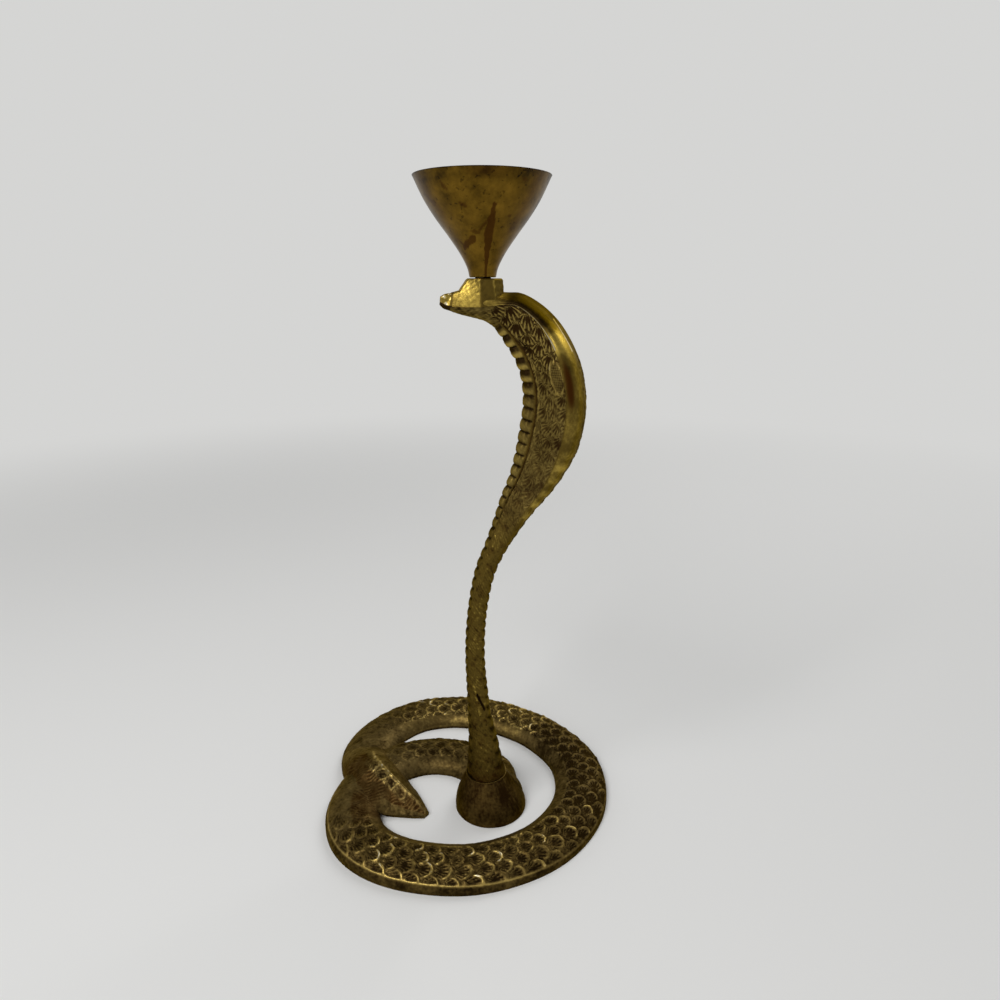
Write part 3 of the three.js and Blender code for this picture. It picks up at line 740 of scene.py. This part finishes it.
def cobra_zones(t, s, rib_edge):
    """Shares, 0 to 1, of the parts of the cobra's skin, at station t and share s.

    hood and stem split the body by height. rib, groove, beside, face, line, band and
    back follow each other round the half ring, and outer is the band's far side. lens,
    curl, hole and slit are single marks, and cheek, lips, upper and tip belong to the
    head. rough says where the casting's grain shows.
    """
    z = SimpleNamespace(hood=step_up(t, 9, 12), tip=step_up(t, 25.1, 25.3))
    z.stem = 1 - z.hood
    body = step_down(t, 20.2, 21)
    front_rib = step_down(s, rib_edge - 0.05, rib_edge - 0.01)
    back_rib = step_up(s, 0.66, 0.78) * step_down(t, 8.5, 10.5)
    z.rib = np.maximum(front_rib, back_rib) * body
    z.groove = rise(s, rib_edge, 0.008) * body * step_up(t, 8, 12)
    z.beside = rise(s, rib_edge + 0.024, 0.009) * body * step_up(t, 12, 16)
    z.face = plateau(s, rib_edge, rib_edge + 0.02, 0.488, 0.498) * z.hood
    z.face = z.face * step_down(t, 21.6, 22.6)
    z.line = (rise(s, 0.503, 0.006) * z.hood * step_down(t, 21.4, 22.4)
              * (0.35 + 0.65 * step_up(t, 17.4, 18.4)))
    z.back = step_up(s, 0.68, 0.76) * plateau(t, 8.5, 10.5, 16.6, 17.6)
    z.flank = plateau(s, rib_edge, rib_edge + 0.05, 0.66, 0.76) * z.stem

    z.hole = rise(t, HOLE_STATION, 0.4) * rise(s, rib_edge + 0.03, 0.024) * z.face
    z.curl = rise(oval_gap(t, s, CURL), 1, 0.28) * (s < 0.425 + 0.1 * (t - CURL[0])) * z.face
    lens = oval_gap(t, s, LENS)
    z.oval = rise(lens, 1, 0.11) * z.face
    z.inside = step_down(lens, 0.8, 0.95)
    z.slit = stroke(t, s, *SLIT) * z.stem
    z.twist = stroke(t, s, *TWIST) * z.stem
    # glow: painted highlight lines on the band
    z.glow = np.maximum(*(stroke(t, s, *glow) for glow in GLOWS)) * z.hood

    jaw_depth = np.interp(t, *zip(*JAW_DEPTH))
    jaw_s = np.arccos(1 - 2 * jaw_depth) / np.pi
    head = step_up(t, 21.4, 22.2)
    z.cheek = step_up(s, jaw_s, jaw_s + 0.03) * head
    z.lips = step_up(t, 24.9, 25.1) * rise(s, jaw_s, 0.03)
    z.upper = plateau(s, jaw_s, jaw_s + 0.02, 0.80, 0.86) * head
    z.rough = ((1 - 0.9 * z.hood * step_up(s, 0.5, 0.515) * (1 - step_up(s, 0.9, 1.0) * (t < 17)))
               * (1 - 0.85 * head * step_up(s, 0.3, 0.4)))

    z.band = plateau(s, 0.5, 0.512, 0.95, 1.0) * z.hood * (1 - z.cheek) * (1 - z.back)
    # outer: the band's far side, which is painted darker as shade
    z.outer = step_up(s, 0.72, 0.86) * plateau(t, 12, 15, 18.8, 19.6) * z.band
    # shine: a painted highlight across the band
    z.shine = rise(t, 18.15, 0.6) * z.band * step_down(s, 0.74, 0.82)
    # shade: painted shade on the band's near side
    z.shade = rise(t, 17.1, 0.8) * z.band * step_down(s, 0.56, 0.68)
    z.throat = step_up(t, 20.3, 21.5) * (1 - z.cheek) * (1 - z.band)
    return z


def belly_ribs(front_line, t, s, spacing):
    """Place f within a rib, from 0 to 1 upward, and the rib's rounded height there.

    The height is the half circle over f times 1.15 - 0.3 f, a little lower at the top.
    """
    pitch = by_station(t, RIB_SPACING)[:, 0] * spacing
    phase = np.concatenate([[0], np.cumsum(np.diff(front_line) / pitch[1:])])[:, None]
    phase = phase + 0.25 * step_up(s, 0.6, 0.8)
    f = phase - np.floor(phase)
    return f, np.sqrt(np.clip(1 - (2 * f - 1) ** 2, 0, 1)) * (1.15 - 0.3 * f)


def cheek_limit(skin, t):
    """Half width of the head's upper side: the boss's own faces, then the narrow snout."""
    boss_front, _, boss_half = boss_ring(np.clip(BOSS_TOP - skin[..., 2], 0, BOSS_FOOT))
    ahead = BOSS_CHEEK_X - skin[..., 0]
    facet = boss_half * (1 - BOSS_CORNER * ahead / (BOSS_CHEEK_X - boss_front)) - 0.06
    facet = np.where(ahead > -0.5, facet, 20)
    return np.minimum(by_station(t, SNOUT_WIDTH), np.maximum(facet, 1.5))


def cobra_meshes(sizes):
    """The cobra with ribs, groove, scales, band and head, in two runs.

    Each feature is its height in mm times the share of the skin that it lies on, and
    their sum moves the smooth surface along its normals. u runs down from the snout, v
    round the half ring from its front, and w is v from the groove. The mark of rubbing and
    light adds up the same features, as how rubbed and bright each one is, together with
    painted highlights and painted shade on the ribs, the band, the stem and the head.
    """
    side, t, s = cobra_grid()
    smooth_skin = whole_ring(side, MIRROR)
    out = normals(smooth_skin)[:, :len(s)]
    u = running(smooth_skin.mean(axis=1))
    u = (u[-1] - u)[:, None]
    v = running(side, axis=1)
    rib_edge = by_station(t, RIB_EDGE)
    groove_at = np.abs(s[None, :] - rib_edge).argmin(axis=1)[:, None]
    w = v - np.take_along_axis(v, groove_at, axis=1)
    s, t = s[None, :], t[:, None]
    z = cobra_zones(t, s, rib_edge)
    f, bead = belly_ribs(running(side[:, 0]), t, s, in_mm(sizes.rib_pitch))

    height, _ = scales(u * math.cos(FACE_TILT) - w * math.sin(FACE_TILT) + 0.9 * wander(u, v, 6),
                       u * math.sin(FACE_TILT) + w * math.cos(FACE_TILT) + 0.9 * wander(v, u, 5),
                       in_mm(sizes.pitch), in_mm(sizes.row), *FACE_SCALES)
    wide, _ = scales(u + 0.4 * wander(u, v, 6), v[:, [-1]] - v, *BACK_SCALES)
    cross = np.sin((u + w) * 3.6) * np.sin((u - w) * 3.6)
    height = mix(height, 0.32 + 0.22 * cross, z.inside)
    lines = np.sin((u - 1.1 * w + wander(u, v, 4)) * 2 * np.pi / 1.35)
    lines = lines * step_up(wander(v, u, 3), -0.4, 0.5) * step_up(t, 3, 5)
    flecks = wander(u, v, 0.55) * wander(v, u, 0.8)
    clouds = step_up(wander(u, v, 2.6) + 0.5 * wander(v, u, 1), 0, 0.8) * z.flank
    rope = (np.sin(u * 2 * np.pi / 5.6 + 2 * s) * step_up(s, 0.505, 0.55)
            * plateau(t, 9.5, 10.5, 13.4, 14.4))
    grain = 0.05 * wander(u, v, 1.4) + 0.05 * wander(v, u, 0.6)
    # painted glints for the snout's top
    glints = 0.1 + 0.6 * step_up(wander(u, v, 0.9), 0, 0.4)

    relief = (in_mm(sizes.rib_relief) * z.rib * (bead - 0.8)
              + in_mm(sizes.relief) * (z.face * (height - 0.4) + z.back * (wide - 0.45)
                                       + z.flank * (0.12 * lines + 0.3 * flecks))
              - 0.4 * z.groove - 0.9 * z.hole + 0.3 * z.line + 0.25 * z.oval
              - 0.6 * z.slit + 0.25 * z.twist + 0.16 * rope + grain * z.rough
              + z.cheek * (0.2 - 0.25 * z.tip) - 0.45 * z.lips)
    skin = side + out * relief[..., None]
    narrow = np.maximum(skin[..., 1], -cheek_limit(skin, t))
    skin[..., 1] = mix(skin[..., 1], narrow, z.upper)

    engraved = 0.85 * (height - BARE) * (0.35 + 0.65 * step_up(t, 12.5, 15.5))
    strokes = 0.35 * step_up(height, 0.42, 0.53) * step_up(t, 16.4, 17.6)
    arc = 0.2 + 0.4 * step_up(LENS[1] - s, -0.01, 0.02)
    rubbed_and_lit = (
        0.38 + 1.3 * grain * z.rough
        + z.rib * ((0.5 + 0.3 * z.stem) * (bead - 0.85)
                   + z.hood * (0.08 - 0.35 * np.abs(2 * f - 1) ** 6)
                   # painted shading: each hood rib lighter on its lower half and darker on its
                   # upper half
                   + 0.4 * np.sin(2 * np.pi * f) * step_up(t, 14.5, 17))
        + z.face * (engraved + strokes - 0.03 - 0.13 * step_up(t, 17.2, 18.2) - 0.08 * z.inside)
        + arc * z.oval + 0.5 * z.curl - 0.7 * z.hole + 0.3 * z.beside - 0.2 * z.groove
        + z.flank * (0.11 * lines + 0.35 * flecks + 0.06) - 0.14 * clouds
        # painted shade: the stem darker towards its front and back sides
        + 0.15 * z.twist - 0.8 * z.slit - 0.1 * z.stem * (1 - np.sin(np.pi * s))
        # painted shadow: the stem's foot darker where it meets the bell
        - 0.1 * step_down(t, 0, 3) + z.back * (0.35 * wide - 0.2)
        # painted highlights: the band's front edge, a real ridge, painted brighter from station
        # 17.4 up, and the shine and glow marks
        + (0.2 + 1.1 * step_up(t, 17.4, 18.4)) * z.line + 0.35 * z.shine + 0.9 * z.glow
        # painted shade: the band darker from station 18.5 up as a painted dark reflection, and
        # darker on its far side (outer) and near side (shade)
        + z.band * (0.2 + 0.1 * rope - 0.48 * step_up(t, 18.5, 19.5))
        - 0.25 * z.outer - 0.35 * z.shade
        # painted glints on the snout's top, and painted shade as a dark line at the step between
        # the boss's facet and the snout
        + z.cheek * (0.3 + glints * z.tip - 0.5 * rise(t, 25.1, 0.13))
        - 0.8 * z.lips - 0.35 * z.tip * (1 - z.cheek) + 2.5 * grain * z.throat * (1 - z.tip))
    spot = oval_gap(t, s, RED_SPOT) ** 2 + 0.3 * wander(u, v, 4)
    stain = (step_down(spot, 0.1, 1.9) * z.band + 0.25 * z.face * step_down(height, 0.1, 0.45)
             # painted shadow in red-brown at the stem's foot, where it meets the bell
             + 0.5 * z.groove + 0.4 * step_down(t, 0, 0.9) * z.stem + 0.22 * clouds)
    dull = z.face + z.back + z.throat + 0.7 * z.rib * z.hood + 0.4 * z.outer
    marks = {"rubbed_and_lit": rubbed_and_lit, "stain": np.clip(stain, 0, 1), "dull": np.clip(dull, 0, 1)}
    return slices("cobra", whole_ring(skin, MIRROR) + BASE_SHIFT, t[:, 0],
                  {key: whole_ring(m) for key, m in marks.items()}, COBRA_CUTS)


def boss_ring(down):
    """Front, back and half width of the boss at a depth below its top."""
    rings = np.array(BOSS_RINGS[::-1])
    return [np.interp(down, rings[:, 0], rings[:, k]) for k in (1, 2, 3)]


def boss_mesh():
    """The boss on the head: eight-sided rings with eased corners and hammered faces.

    Each ring is the eight-sided outline resampled along its sides and averaged over a
    short stretch, which rounds the corners by the width of that stretch. The faces sink
    and swell a little by slow crossing waves.
    """
    low = np.linspace(BOSS_FOOT, 0.6, 60)
    down, front, back, half = (np.append(a, BOSS_CLOSE[:, k])
                               for k, a in enumerate((low, *boss_ring(low))))
    cut = BOSS_CORNER * half
    cheek = np.minimum(BOSS_CHEEK_X, back - cut - 1)
    x = np.stack([cheek, back - cut, back, back, back - cut, cheek, front, front], axis=-1)
    y = np.stack([-half, -half, cut - half, half - cut, half, half, half - cut, cut - half],
                 axis=-1)
    per_side = 20
    k = np.arange(8 * per_side)
    here, share = k // per_side, (k % per_side) / per_side
    outline = [mix(c[:, here], c[:, (here + 1) % 8], share) for c in (x, y)]
    soft = [sum(np.roll(c, i, axis=1) for i in (-1, 0, 1)) / 3 for c in outline]
    z = np.broadcast_to((BOSS_TOP - down)[:, None], soft[0].shape)
    grid = np.stack([*soft, z], axis=-1)
    across = grid[..., 0] + np.abs(grid[..., 1])
    dent = wander(across, z, 0.9) * (down > 0.7)[:, None]
    leaf = step_up(wander(across, 1.1 * z, 0.6), -0.2, 0.6)
    upper = step_up(z, BOSS_TOP - 6.5, BOSS_TOP - 4)
    grid = grid + normals(grid) * ((0.015 + 0.045 * upper) * dent)[..., None]
    # side and corner carry painted light: the side facets are painted darker as shade, and corner
    # is a leaning painted highlight streak on them
    side = step_up(grid[..., 0], BOSS_CHEEK_X - 0.4, BOSS_CHEEK_X + 0.2)
    lean = 1.3 + 0.1 * (BOSS_TOP - 5 - z) + 0.15 * dent
    corner = rise(grid[..., 0], lean, 0.45) * (np.abs(grid[..., 1]) > 4)
    rubbed_and_lit = 0.64 + 0.2 * leaf * upper * (1 - side) + 0.05 * dent - 0.3 * side + 0.25 * corner
    dull = np.where(grid[..., 0] > 1.8, 0.6, 0)
    return tube("head_boss", grid + BASE_SHIFT, {"rubbed_and_lit": rubbed_and_lit, "stain": 0, "dull": dull})


def cup_mesh():
    """The cup: its outer profile, a rounded rim, the inner wall and the candle's seat.

    The profile (radius, height) is turned about the axis in even steps. Its marks hold a
    few tarnish spots and a long streak, as ragged ovals in angle and height.
    """
    wall = catmull(CUP_PROFILE, np.linspace(0, len(CUP_PROFILE) - 1, 96))
    tangent = unit(np.gradient(wall, axis=0))
    out = np.stack([tangent[:, 1], -tangent[:, 0]], axis=-1)
    inside = (wall - out * CUP_WALL)[::-1]
    lip_r, lip_z = wall[-1]
    inside = inside[(inside[:, 1] > CUP_FLOOR + 0.4) & (inside[:, 1] < lip_z - 0.25)]
    rim = [(lip_r - 0.02, lip_z - 0.12), (lip_r - 0.14, lip_z), (lip_r - CUP_WALL + 0.1, lip_z),
           (lip_r - CUP_WALL - 0.05, lip_z - 0.14)]
    seat = [(inside[-1, 0] - 0.5, CUP_FLOOR), (inside[-1, 0] - 3.5, CUP_FLOOR), (0.4, CUP_FLOOR)]
    neck = [(0.4, NECK_TOP), (BORE_RADIUS, NECK_TOP), (BORE_RADIUS, 0.2), (3.6, 0), (4.4, 0)]
    radius, z = np.array(neck + list(wall[1:-1]) + rim + list(inside) + seat).T[..., None]
    turn = full_turn(300)
    round_x = CUP_MARK_RADIUS * turn
    flat_x, flat_z = round_x + 0.25 * wander(round_x, z, 0.8), z + 0.3 * wander(z, round_x, 1)
    outside = (np.arange(len(z)) < len(neck) + len(wall))[:, None]
    stain = 0
    for angle_1, z_1, wide_1, angle_2, z_2, wide_2, depth in CUP_MARKS:
        x_1, x_2 = np.radians(np.array([angle_1, angle_2]) % 360) * CUP_MARK_RADIUS
        gap = line_gap(flat_x, flat_z, (x_1, z_1), (x_2, z_2), wide_1, wide_2)
        soft = 0.12 if depth >= 0.5 else 0.9
        stain = np.maximum(stain, depth * step_down(gap, 1 - soft, 1 + soft))
    # painted shade: the outside darker from 28 mm up, and the rim's top darker still
    rubbed_and_lit = 0.55 - 0.16 * step_up(z, 28, 30.5) * outside
    rubbed_and_lit = np.where(z > lip_z - 0.2, 0.15, rubbed_and_lit)
    axis = BASE_SHIFT + [STEM_AXIS_X, 0, CUP_FOOT]
    return tube("cup", turned(radius, z, turn) + axis, {"rubbed_and_lit": rubbed_and_lit, "stain": stain * outside})


def stud_mesh():
    """The threaded stud: its radius falls by depth * |wave| of z / pitch - turn."""
    low, high = BOSS_TOP - 6, CUP_FOOT + 5
    z = np.arange(low, high + 1e-6, STUD_PITCH / 8)[:, None]
    turn = full_turn(48)
    wave = np.abs(((z / STUD_PITCH - turn / (2 * np.pi)) % 1) * 2 - 1)
    ends = plateau(z, low, low + STUD_PITCH, high - STUD_PITCH, high)
    r = STUD_RADIUS - THREAD_DEPTH * (wave * ends + 0.8 * (1 - ends))
    return tube("stud", turned(r, z, turn) + BASE_SHIFT + [STEM_AXIS_X, 0, 0],
                {"rubbed_and_lit": 1 - wave})


class Nodes:
    """Short hand for laying out the nodes of a material or of the world."""

    def __init__(self, owner):
        owner.use_nodes = True
        self.owner = owner
        self.tree = owner.node_tree
        self.shader = self.tree.nodes.get("Principled BSDF") or self.tree.nodes["Background"]

    def add(self, kind, out=0, **inputs):
        """Adds a node and gives an output; inN is input N, others are inputs or settings."""
        node = self.tree.nodes.new(kind)
        for key, value in inputs.items():
            if key[:2] == "in" and key[2:].isdigit():
                self.feed(node.inputs[int(key[2:])], value)
            elif key in node.inputs:
                self.feed(node.inputs[key], value)
            else:
                setattr(node, key, value)
        return node.outputs[out]

    def feed(self, socket, value):
        """Links a node's output to a socket, or sets the socket to a plain value."""
        if isinstance(value, bpy.types.NodeSocket):
            self.tree.links.new(value, socket)
        else:
            socket.default_value = value

    def shade(self, **inputs):
        """Feeds the shader, with _ for a space in an input's name, and gives the owner."""
        for key, value in inputs.items():
            self.feed(self.shader.inputs[key.replace("_", " ")], value)
        return self.owner

    def math(self, operation, a, b=0.0):
        return self.add("ShaderNodeMath", operation=operation, in0=a, in1=b)

    def place(self, space="Object"):
        return self.add("ShaderNodeTexCoord", out=space)

    def mark(self, name):
        return self.add("ShaderNodeAttribute", out="Fac", attribute_name=name)

    def noise(self, scale, detail=3.0):
        return self.add("ShaderNodeTexNoise", Vector=self.place(), Scale=scale, Detail=detail)

    def stir(self, value, noise, amount):
        """The value plus noise, from -amount / 2 to amount / 2."""
        return self.math("ADD", value, self.math("MULTIPLY", self.math("SUBTRACT", noise, 0.5),
                                                 amount))

    def ramp(self, value, low, high, start=0.0, end=1.0, kind="SMOOTHSTEP"):
        """The value taken from low to high over to start to end."""
        return self.add("ShaderNodeMapRange", Value=value, in1=low, in2=high, in3=start,
                        in4=end, interpolation_type=kind)

    def seen_by(self, *rays):
        """1 for these kinds of ray, 0 for the others."""
        share, *others = (self.add("ShaderNodeLightPath", out="Is %s Ray" % ray) for ray in rays)
        for other in others:
            share = self.math("MAXIMUM", share, other)
        return share

    def blend(self, share, a, b):
        """Colour a where share is 0, b where it is 1."""
        node = self.tree.nodes.new("ShaderNodeMix")
        node.data_type = "RGBA"
        self.feed(node.inputs[0], share)
        for socket, value in ((node.inputs[6], a), (node.inputs[7], b)):
            self.feed(socket, value if isinstance(value, bpy.types.NodeSocket) else (*value, 1.0))
        return node.outputs[2]


def scaled(shade, share, blue=1.0):
    """A colour times a share, and its blue once more by its own."""
    r, g, b = shade
    return r * share, g * share, b * share * blue


def aged_brass(name, finish, tone=0.0, shine=0.0, gleam=1.0, specks=0.55, blue=1.0):
    """Brass that is dark in its hollows and rubbed on its high spots.

    The piece's own mark of rubbing and light, which follows its height and also holds painted
    highlights and painted shade, blotches and specks are added into one value, which picks the
    colour from patina over aged to rubbed brass and, past 1, to the glint colour, and the
    roughness.
    The stain mark turns it red-brown, and the dull mark takes off the gloss.
    """
    n = Nodes(bpy.data.materials.new(name))
    dull = n.mark("dull")
    speck = n.noise(900.0)
    wear_and_light = n.stir(n.math("ADD", n.mark("rubbed_and_lit"), tone), n.noise(120.0), 0.6)
    wear_and_light = n.stir(wear_and_light, speck, specks)
    low = n.blend(n.ramp(wear_and_light, 0.0, 0.45), finish.patina, scaled(finish.aged, 1, blue))
    gold = n.blend(n.ramp(wear_and_light, 0.45, 1.0), low, scaled(finish.bright, gleam, blue))
    gold = n.blend(n.ramp(wear_and_light, 1.0, 1.5), gold, finish.glint)
    matte = n.blend(n.ramp(wear_and_light, 0.05, 0.75), scaled(finish.patina, 2),
                    scaled(finish.earth, 1, blue))
    gold = n.blend(n.math("MULTIPLY", dull, 0.8), gold, matte)
    rough = n.ramp(wear_and_light, 0.1, 1.0, 0.56 - shine / 2, 0.36 - shine, "LINEAR")
    return n.shade(
        Base_Color=n.blend(n.mark("stain"), gold, finish.stain), Metallic=1.0,
        Specular_Tint=(0.78, 0.66, 0.42, 1),
        Roughness=n.math("ADD", rough, n.math("MULTIPLY", dull, 0.12)),
        Normal=n.add("ShaderNodeBump", Strength=0.35, Distance=0.0002, Height=speck))


def cup_brass(finish):
    """Turned brass, toned amber and clouded, with its tarnish marks and a darker lip that is
    painted shade.
    """
    n = Nodes(bpy.data.materials.new("cup_brass"))
    cloud = n.stir(n.mark("rubbed_and_lit"), n.noise(150.0, 4.0), 1.3)
    cloud = n.stir(cloud, n.noise(800.0), 0.4)
    pits = n.ramp(n.noise(620.0, 2.0), 0.64, 0.7)
    cloud = n.math("SUBTRACT", cloud, n.math("MULTIPLY", pits, 0.25))
    low = n.blend(n.ramp(cloud, -0.1, 0.5), finish.patina, scaled(finish.cup, 0.62))
    tone = n.blend(n.ramp(cloud, 0.3, 0.95), low, scaled(finish.cup, 1.25))
    return n.shade(Base_Color=n.blend(n.mark("stain"), tone, finish.stain), Metallic=1.0,
                   Roughness=n.ramp(cloud, 0.0, 1.0, 0.42, 0.26, "LINEAR"))


def plain_metal(name, shade):
    """Machined metal with a fine grain in its colour and gloss."""
    n = Nodes(bpy.data.materials.new(name))
    grain = n.noise(1500.0, 2.0)
    return n.shade(Base_Color=n.blend(grain, scaled(shade, 0.8), shade), Metallic=1.0,
                   Roughness=n.ramp(grain, 0.0, 1.0, 0.35, 0.5, "LINEAR"))


class COBRA_OT_base(bpy.types.Operator):
    """Make the scaled coil and the bell that its inner end swells into"""

    bl_idname = "cobra_holder.base"
    bl_label = "Coil and bell"

    def execute(self, context):
        finish = context.scene.cobra_finish
        brass = aged_brass("coil_brass", finish, gleam=0.85)
        for mesh in coil_meshes(context.scene.cobra_coil):
            show(mesh, brass, "holder", "coiled_base", sharp=70)
        show(bell_mesh(), aged_brass("bell_brass", finish, tone=-0.02), "holder",
             "coiled_base", sharp=50)
        return {"FINISHED"}


class COBRA_OT_snake(bpy.types.Operator):
    """Make the cobra with its ribs, hood, scales and head, and the boss on the head"""

    bl_idname = "cobra_holder.snake"
    bl_label = "Cobra"

    def execute(self, context):
        brass = aged_brass("body_brass", context.scene.cobra_finish, shine=0.06, specks=0.35,
                           blue=0.7)
        for mesh in cobra_meshes(context.scene.cobra_snake):
            show(mesh, brass, "holder", "cobra_body", sharp=70)
        show(boss_mesh(), brass, "holder", "cobra_body")
        return {"FINISHED"}


class COBRA_OT_cup(bpy.types.Operator):
    """Make the turned candle cup"""

    bl_idname = "cobra_holder.cup"
    bl_label = "Candle cup"

    def execute(self, context):
        show(cup_mesh(), cup_brass(context.scene.cobra_finish), "cup",
             "candle_cup", sharp=35)
        return {"FINISHED"}


class COBRA_OT_fixings(bpy.types.Operator):
    """Make the threaded stud, and give the screw and the washer their metal"""

    bl_idname = "cobra_holder.fixings"
    bl_label = "Stud, screw and washer"

    def execute(self, context):
        finish = context.scene.cobra_finish
        show(stud_mesh(), plain_metal("stud_brass", finish.stud), "stud",
             "cup_stud")
        steel = plain_metal("fixing_steel", finish.steel)
        for name in ("base_screw", "screw_washer"):
            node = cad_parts[name]
            node.data.materials.clear()
            node.data.materials.append(steel)
        return {"FINISHED"}


def set_camera(lens):
    """The camera at the photograph's viewpoint."""
    camera = bpy.data.cameras.new("camera")
    camera.sensor_width = 36
    camera.lens = lens
    camera.clip_start = 0.01
    viewer = add_object("camera", camera)
    viewer.location = ((BASE_SHIFT + CAMERA_AT) * MM).tolist()
    viewer.rotation_euler = (math.radians(CAMERA_TILT), 0, math.radians(CAMERA_HEADING))
    bpy.context.scene.camera = viewer


def lay_floor(stage):
    """A flat disc whose radius grows with the square of the ring, faded into the backdrop."""
    rings, sides = 24, 96
    radius = (np.linspace(0, 1, rings) ** 2 * 6 + 0.02)[:, None]
    mesh = bpy.data.meshes.new("floor")
    mesh.from_pydata(turned(radius, 0, full_turn(sides)).reshape(-1, 3).tolist(), [],
                     ring_faces(rings, sides).tolist() + [list(range(sides))])
    floor = add_object("floor", mesh)
    n = Nodes(bpy.data.materials.new("floor"))
    n.shade(Roughness=0.9, Base_Color=(*stage.floor, 1))
    far = n.add("ShaderNodeVectorMath", out="Value", operation="LENGTH", in0=n.place())
    share = n.math("MULTIPLY", n.ramp(far, 0.28, 1.0), n.seen_by("Camera", "Glossy"))
    glow = n.add("ShaderNodeEmission", Color=(*stage.backdrop, 1))
    both = n.add("ShaderNodeMixShader", in0=share, in1=n.shader.outputs[0], in2=glow)
    n.feed(n.tree.nodes["Material Output"].inputs["Surface"], both)
    mesh.materials.append(n.owner)


def set_light(scene, stage):
    """An even world light, weaker overhead and plain where the camera sees it, and two lamps."""
    scene.world = bpy.data.worlds.new("studio")
    n = Nodes(scene.world)
    seen = n.seen_by("Camera", "Glossy", "Transmission")
    strength = n.ramp(seen, 0.0, 1.0, stage.fill, 1.0, "LINEAR")
    up = n.add("ShaderNodeSeparateXYZ", out="Z", in0=n.place("Generated"))
    dim = n.ramp(up, 0.33, 0.8, 1.0, stage.overhead)
    n.shade(Color=(*stage.backdrop, 1), Strength=n.math("MULTIPLY", dim, strength))
    for name, at, aim, size, power in LAMPS:
        light = bpy.data.lights.new(name, "AREA")
        light.size = size
        light.energy = power
        lamp = add_object(name, light)
        lamp.location = at
        away = np.subtract(at, aim)
        lamp.rotation_euler = (math.acos(away[2] / np.linalg.norm(away)), 0,
                               math.atan2(away[0], -away[1]))


class COBRA_OT_stage(bpy.types.Operator):
    """Set up the floor, the light and the camera at the photograph's viewpoint"""

    bl_idname = "cobra_holder.stage"
    bl_label = "Floor, light and camera"

    def execute(self, context):
        scene = context.scene
        scene.view_settings.view_transform = "Standard"
        set_camera(scene.cobra_stage.lens)
        lay_floor(scene.cobra_stage)
        set_light(scene, scene.cobra_stage)
        return {"FINISHED"}


STEPS = (COBRA_OT_stage, COBRA_OT_base, COBRA_OT_snake, COBRA_OT_cup, COBRA_OT_fixings)
GROUPS = {"cobra_coil": CoilSizes, "cobra_snake": CobraSizes, "cobra_finish": Finish,
          "cobra_stage": StageSettings}


class COBRA_PT_panel(bpy.types.Panel):
    """Buttons for the pieces, and their sizes and colours"""

    bl_idname = "COBRA_PT_panel"
    bl_label = "Cobra candle holder"
    bl_space_type = "VIEW_3D"
    bl_region_type = "UI"
    bl_category = "Cobra"

    def draw(self, context):
        for step in STEPS:
            self.layout.operator(step.bl_idname)
        for settings in GROUPS:
            box = self.layout.box()
            owner = getattr(context.scene, settings)
            for key in owner.__annotations__:
                box.prop(owner, key)


CLASSES = (*GROUPS.values(), *STEPS, COBRA_PT_panel)


def register():
    for cls in CLASSES:
        bpy.utils.register_class(cls)
    for key, group in GROUPS.items():
        setattr(bpy.types.Scene, key, bpy.props.PointerProperty(type=group))


def unregister():
    for key in GROUPS:
        delattr(bpy.types.Scene, key)
    for cls in reversed(CLASSES):
        bpy.utils.unregister_class(cls)


def main():
    register()
    bpy.ops.cobra_holder.stage()
    bpy.ops.cobra_holder.base()
    bpy.ops.cobra_holder.snake()
    bpy.ops.cobra_holder.cup()
    bpy.ops.cobra_holder.fixings()


if __name__ == "__main__":
    main()
